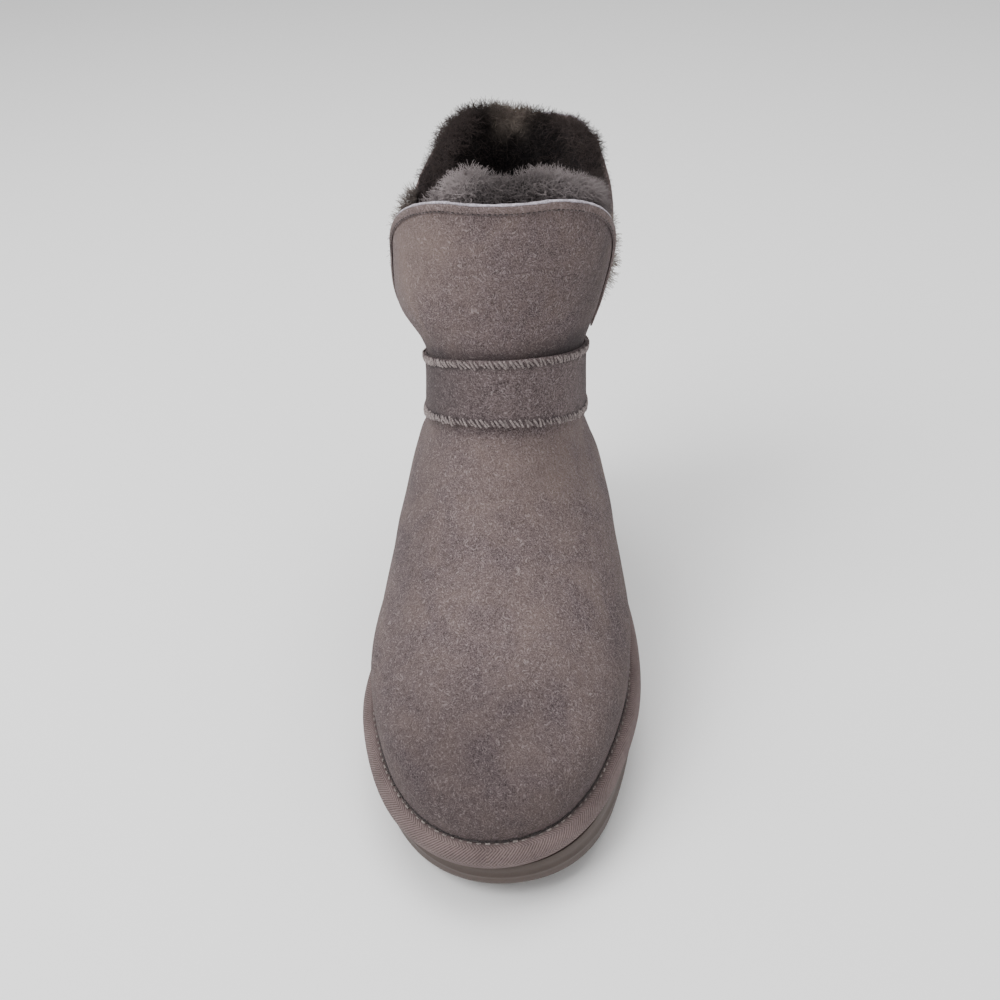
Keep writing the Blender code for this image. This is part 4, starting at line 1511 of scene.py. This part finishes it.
@dataclass
class Footbed:
    """Wool footbed and the wool that lines the inside of the foot."""

    kit: Kit
    thickness: float = 0.006
    lining: float = 0.0045
    # up, share of the inset from the wall
    section: Table = ((0.0, 1.0), (0.5, 1.0), (0.8, 1.15), (1.0, 2.2), (1.0, 4.5), (1.0, 8.0))

    def insole(self) -> None:
        """Lumpy wool footbed."""
        rows = []
        for up, grow in self.section:
            plan = FORM.sole_plan(FORM.columns(40), -(FORM.wall + FORM.clearance) * grow)
            z = FORM.sole_top(plan[:, 1]) + FORM.clearance + up * self.thickness
            row = np.concatenate((plan, z[:, None]), 1)
            row[:, 2] += 0.0007 * up * (lumps(row, 0.007, 2.0) - 0.4)
            rows.append(row)
        grid = Grid()
        grid.slab(np.array(rows))
        mesh = grid.mesh("footbed_wool", sharp=80)
        piece = self.kit.show("footbed_wool", mesh, Look.BLACK_BODY, Slot.FLEECE, "insole")

    def foot_lining(self) -> None:
        """Short wool inside the foot, under the two fleece pads."""
        angles = np.linspace(0, 2 * pi, 110, endpoint=False)
        levels = np.linspace(1.2, 7.9, 30)[:, None]
        back = -(FORM.wall + FORM.clearance)
        outside = FORM.offset(angles, levels, back)
        thick = self.lining * (1 + 0.35 * lumps(outside, 0.008, 5.0))
        inside = FORM.offset(angles, levels[::-1], back - thick[::-1])
        grid = Grid()
        grid.skin(grid.add(np.concatenate((outside, inside))), round_rows=True, closed=True)
        mesh = grid.mesh("foot_lining_wool", sharp=80)
        self.kit.show("foot_lining_wool", mesh, Look.BLACK_BODY, Slot.FLEECE)

    def build(self) -> None:
        """Builds both."""
        self.insole()
        self.foot_lining()


@dataclass
class FleecePad:
    """Sheepskin pile behind one flap: a lumpy body and the strands that grow from it."""

    kit: Kit
    node: str
    middle: float
    drop: float
    drop_power: float
    rise: float
    body_look: Look
    strand_look: Look
    seed: int
    # place across, height added to the pile's top
    rim_line: Table
    # place across, painted light (above 0) or painted shade (below 0) on the pile
    light_line: Table
    notch: float = 0.0
    pale_roots: float = 0.0
    rim_density: float = 4000000.0
    wall_density: float = 560000.0
    pile: float = 0.0115
    nap: float = 0.0036
    foot_level: float = 8.0
    slit_share: float = 0.333
    levels: int = 40
    top_steps: int = 10
    columns: int = 97
    # level, thickness
    steps: Table = (
        (0.0, 0.35), (0.12, 0.60), (0.24, 0.66), (0.333, 0.70), (0.45, 0.90), (0.60, 1.0),
        (0.75, 1.05), (0.89, 1.10), (0.98, 1.10),
    )

    def behind(self, across: Array, level: float, out: Numbers) -> Array:
        """Row of points on the pad.

        Args:
            across: -1 to 1 from side to side.
            level: 0 at the pad's foot, 1 at the rim.
            out: how far behind the flap's turned edge the row lies.

        Returns:
            The row.
        """
        above = np.clip((level - self.slit_share) / (1 - self.slit_share), 0, None)
        angle = self.middle + across * np.radians(87.0 - 1.0 * above)
        if level < self.slit_share:
            ring = self.foot_level + (FORM.slit_level - self.foot_level) * level / self.slit_share
        else:
            whole = FORM.collar - FORM.slit_level
            rim = FORM.slit_level + whole * (1 - self.drop * np.abs(across) ** self.drop_power)
            ring = FORM.slit_level + above * (rim - FORM.slit_level)
        return FORM.offset(angle, ring, -(FORM.wall + 4 * FORM.clearance + 0.0008) - out)

    def body(self) -> tuple[Mesh, Array, Array]:
        """Builds the pad's body.

        Returns:
            The mesh, and for each point its kind (0 on the leather's side, 1 on the top and
            less inside) and its place across.
        """
        across = np.sin(pi / 2 * np.linspace(-1, 1, self.columns))
        edge = np.sqrt(np.clip(1 - np.abs(across) ** 6, 0, 1))
        line, rows = read(self.rim_line, across), []
        sunk = np.minimum(self.rise - self.nap + line, 0)
        lift = (self.rise - self.nap) * (1 - self.notch * bell(across, 0.04, 0.12)) + line
        up = np.linspace(0, 0.98, self.levels)
        for level in up:
            rows.append(self.behind(across, level, 0.0))
            rows[-1][:, 2] += sunk * ramp(level, 0.70, 0.28) ** 2
        front = rows[-1].copy()
        front[:, 2] -= sunk
        thick = self.steps[-1][1] * self.pile * (0.45 + 0.55 * edge) - 0.5 * self.nap
        inner = self.behind(across, 0.98, thick)
        inner[:, 2] += 0.55 * lift
        for t in np.linspace(0, 1, self.top_steps + 2)[1:-1]:
            blend, arch = (1 - cos(pi * t)) / 2, sin(pi * t) ** 0.8
            row = front * (1 - blend) + inner * blend
            row[:, 2] += lift * (arch * (1 - 0.35 * blend))
            row[:, 2] += np.minimum(lift, 0) * (1 - arch) * (1 - blend)
            rows.append(row)
        down = np.linspace(0.98, 0, self.levels)
        for level in down:
            thick = float(read(self.steps, level)) * self.pile * (0.45 + 0.55 * edge)
            rows.append(self.behind(across, level, thick - 0.5 * self.nap * edge))
            rows[-1][:, 2] += 0.55 * lift * ramp(level, 0.75, 0.23) ** 2
        grid = Grid()
        grid.bar(np.array(rows))
        kind = np.concatenate((0 * up, np.ones(self.top_steps), np.where(down > 0.3, 0.8, 0.35)))
        mesh = grid.mesh(f"{self.node}_pile", sharp=80)
        return mesh, np.repeat(kind, self.columns), np.tile(across, len(rows))

    def build(self) -> None:
        """Builds the pad's body and grows its strands."""
        mesh, kind, side = self.body()
        normals, points = table_of(mesh, "normal"), table_of(mesh, "co")
        bumps = lumps(points, 0.010, self.seed) + 0.5 * lumps(points, 0.0055, self.seed + 3.0)
        points = points + (0.0019 * np.where(kind > 0, 1.0, 0.0) * bumps)[:, None] * normals
        mesh.vertices.foreach_set("co", points.ravel())
        mesh.update()
        turn = side * 1.45 + self.middle
        outer = np.stack((np.sin(turn), -np.cos(turn), 0 * side), -1)
        top, edge = np.where(kind >= 1.0, 1.0, 0.0), np.abs(side)
        comb = unit(normals + 0.55 * top[:, None] * UP + 0.25 * (edge**4)[:, None] * outer)
        pale = self.pale_roots * bell(side, 0.07, 0.17) * np.where(kind > 0.5, 1, 0)
        pale = pale * ramp(points[:, 2] - points[:, 2].max(), -0.013, 0.008)
        pale = pale * np.clip(0.75 + 1.4 * lumps(points, 0.006, self.seed + 8.0), 0, 1)
        mesh.materials.append(self.kit.paint[self.body_look])
        keep(
            mesh, pale=pale, comb=comb,
            lit=read(self.light_line, side) * np.where(top > 0, 1, 0.6),
            reach=np.where(top > 0, 1.0, 0.85) * (1 - 0.38 * ramp(edge, 0.50, 0.35)),
        )
        low = np.where(kind > 0, 0.25, 0.4 * ramp(edge, 0.93, 0.07))
        wall = np.where(kind > 0.5, 1.0, low) * (1 - top)
        grown = {}
        for zone, grow, density in (
            ("rim", top, self.rim_density), ("wall", wall, self.wall_density)
        ):
            source, name = mesh.copy(), f"{self.node}_pile_{zone}_strands"
            keep(source, grow=grow)
            grown[name] = self.kit.grow(
                self.kit.wool, name, source, self.strand_look, density=density, length=0.0041,
                root=0.00012, tip=0.00005, bend=0.80, stray=0.70, clump=0.65, cell=0.0034,
                seed=self.seed,
            )
        self.kit.show(f"{self.node}_pile", mesh, self.body_look, Slot.FLEECE, self.node)
        for name, strands in grown.items():
            self.kit.show(name, strands, self.strand_look, Slot.FLEECE)


@dataclass
class SideTuft:
    """Longer natural wool that shows at a side slit."""

    kit: Kit
    name: str
    angle: float
    look: Look
    seed: int
    low: float
    high: float
    paleness: float = 1.0
    half_width: float = 0.07
    columns: int = 5
    rows: int = 9

    def build(self) -> None:
        """Grows the tuft from a narrow strip behind the back flap's side edge."""
        spread = np.linspace(-self.half_width, self.half_width, self.columns)
        levels = np.linspace(self.low, self.high, self.rows)[:, None]
        points = FORM.offset(np.radians(self.angle) + spread, levels, -(FORM.wall + 0.0036))
        grid = Grid()
        grid.skin(grid.add(points))
        mesh, flat = grid.mesh(self.name), points.reshape(-1, 3)
        out = unit(np.array((np.sign(sin(radians(self.angle))), -0.25, 0.50)))
        arch = np.repeat(np.sin(pi * np.linspace(0, 1, self.rows)), self.columns)
        across = np.tile(np.linspace(-1, 1, self.columns), self.rows)
        rough = lumps(flat, 0.006, self.seed)
        keep(
            mesh, comb=np.broadcast_to(out, flat.shape),
            grow=(1 - 0.6 * np.abs(across)) * (0.4 + 0.6 * arch),
            reach=0.50 + 0.55 * arch + 0.22 * rough,
            pale=np.clip(0.35 + 0.8 * rough, 0, 0.8) * self.paleness,
        )
        made = self.kit.grow(
            self.kit.wool, self.name, mesh, self.look, density=11500000.0, length=0.0080,
            root=0.00017, tip=0.00006, bend=0.70, stray=0.42, clump=0.40, cell=0.0045,
            seed=self.seed,
        )
        self.kit.show(self.name, made, self.look, Slot.FLEECE)


# ---------------------------------------------------------------- the studio


@dataclass
class Studio:
    """Pale floor, soft lights and the camera."""

    eye: Place = (0.0285, -0.3978, 0.3455)
    aim: Place = (-0.00128, 0.0, 0.08078)
    roll: float = -2.518
    lens: float = 45.0
    sensor: float = 36.0
    floor_size: float = 8.0
    world_light: float = 0.60
    lit_middle: Place = (0.0, 0.0, 0.09)

    def floor(self) -> None:
        """Plain pale floor."""
        half = self.floor_size / 2
        mesh = bpy.data.meshes.new("floor")
        corners = [(-half, -half, 0), (half, -half, 0), (half, half, 0), (-half, half, 0)]
        mesh.from_pydata(corners, [], [(0, 1, 2, 3)])
        paint = bpy.data.materials.new("floor_paint")
        paint.use_nodes = True
        shader = paint.node_tree.nodes["Principled BSDF"]
        shader.inputs["Base Color"].default_value = (0.93, 0.93, 0.93, 1)
        shader.inputs["Roughness"].default_value = 0.9
        mesh.materials.append(paint)
        link("floor", mesh)

    def lamp(self, name: str, at: Place, size: float, power: float) -> None:
        """Soft square light at a place, facing the boot."""
        data = bpy.data.lights.new(name, "AREA")
        data.size, data.energy = size, power
        lamp = link(name, data)
        lamp.location = at
        way = Vector(self.lit_middle) - Vector(at)
        lamp.rotation_euler = way.to_track_quat("-Z", "Y").to_euler()

    def camera(self) -> None:
        """Camera at the photograph's angle to the boot."""
        data = bpy.data.cameras.new("camera")
        data.lens, data.sensor_width, data.clip_start = self.lens, self.sensor, 0.01
        data.dof.use_dof = False
        camera = link("camera", data)
        turn = (Vector(self.aim) - Vector(self.eye)).to_track_quat("-Z", "Y").to_matrix().to_4x4()
        roll = Matrix.Rotation(radians(self.roll), 4, "Z")
        camera.matrix_world = Matrix.Translation(self.eye) @ turn @ roll
        bpy.context.scene.camera = camera

    def build(self) -> None:
        """Sets the floor, the lights, the world and the camera."""
        self.floor()
        self.lamp("key_light", (-0.72, -0.52, 1.15), 0.8, 17.0)
        self.lamp("fill_light", (0.95, -0.80, 0.70), 1.0, 2.5)
        self.lamp("top_light", (-0.05, 0.20, 1.40), 1.0, 15.0)
        world = bpy.data.worlds.new("studio")
        world.use_nodes = True
        back = world.node_tree.nodes["Background"]
        back.inputs["Color"].default_value = (1, 1, 1, 1)
        back.inputs["Strength"].default_value = self.world_light
        bpy.context.scene.world = world
        self.camera()


def main() -> None:
    """Builds the studio and every piece of the boot."""
    logging.basicConfig(level=logging.INFO, format="%(name)s %(message)s")
    Studio().build()
    kit = Kit()
    for piece in (
        Upper(kit), AnkleStrap(kit), FlapHem(kit, "front_flap", FORM.front),
        FlapHem(kit, "back_flap", FORM.back, pale_above=0.93), BindingTape(kit), Outsole(kit),
        Footbed(kit),
        FleecePad(
            kit, "front_fleece", 0.0, 0.26, 1.8, 0.0155, Look.GREY_BODY, Look.GREY_WOOL, 21,
            rim_line=((-1.0, -0.024), (-0.81, -0.024), (-0.62, -0.023), (-0.47, -0.0155),
                      (-0.33, -0.0052), (-0.18, -0.002), (0.0, -0.0046), (0.31, -0.0024),
                      (0.47, -0.0036), (0.71, -0.0048), (0.95, -0.002), (1.0, -0.002)),
            light_line=((-1.0, -0.5), (-0.45, -0.1), (-0.27, 0.70), (-0.10, 0.15),
                        (0.05, -0.40), (0.30, 0.20), (0.60, 0.20), (1.0, 0.0)),
            rim_density=4050000.0, wall_density=300000.0,
        ),
        FleecePad(
            kit, "back_fleece", pi, 0.22, 3.0, 0.0100, Look.BLACK_BODY, Look.BLACK_WOOL, 22,
            rim_line=((-1.0, -0.006), (-0.78, -0.0018), (-0.62, 0.0008), (-0.50, 0.0000),
                      (-0.36, -0.0022), (-0.16, -0.0024), (0.0, -0.0012), (0.16, 0.0000),
                      (0.30, 0.0024), (0.46, 0.0042), (0.62, 0.0014), (0.80, -0.0042),
                      (1.0, -0.008)),
            light_line=((-1.0, 0.3), (-0.60, 0.35), (-0.30, 0.0), (0.0, -0.3), (0.30, 0.0),
                        (0.60, 0.45), (1.0, 0.4)),
            notch=0.05, pale_roots=0.70,
        ),
        SideTuft(kit, "inner_side_tuft", -98.0, Look.BEIGE_WOOL, 31, 10.9, 12.55, 0.5),
        SideTuft(kit, "outer_side_tuft", 97.0, Look.CREAM_WOOL, 32, 10.5, 12.20),
    ):
        piece.build()


if __name__ == "__main__":
    main()
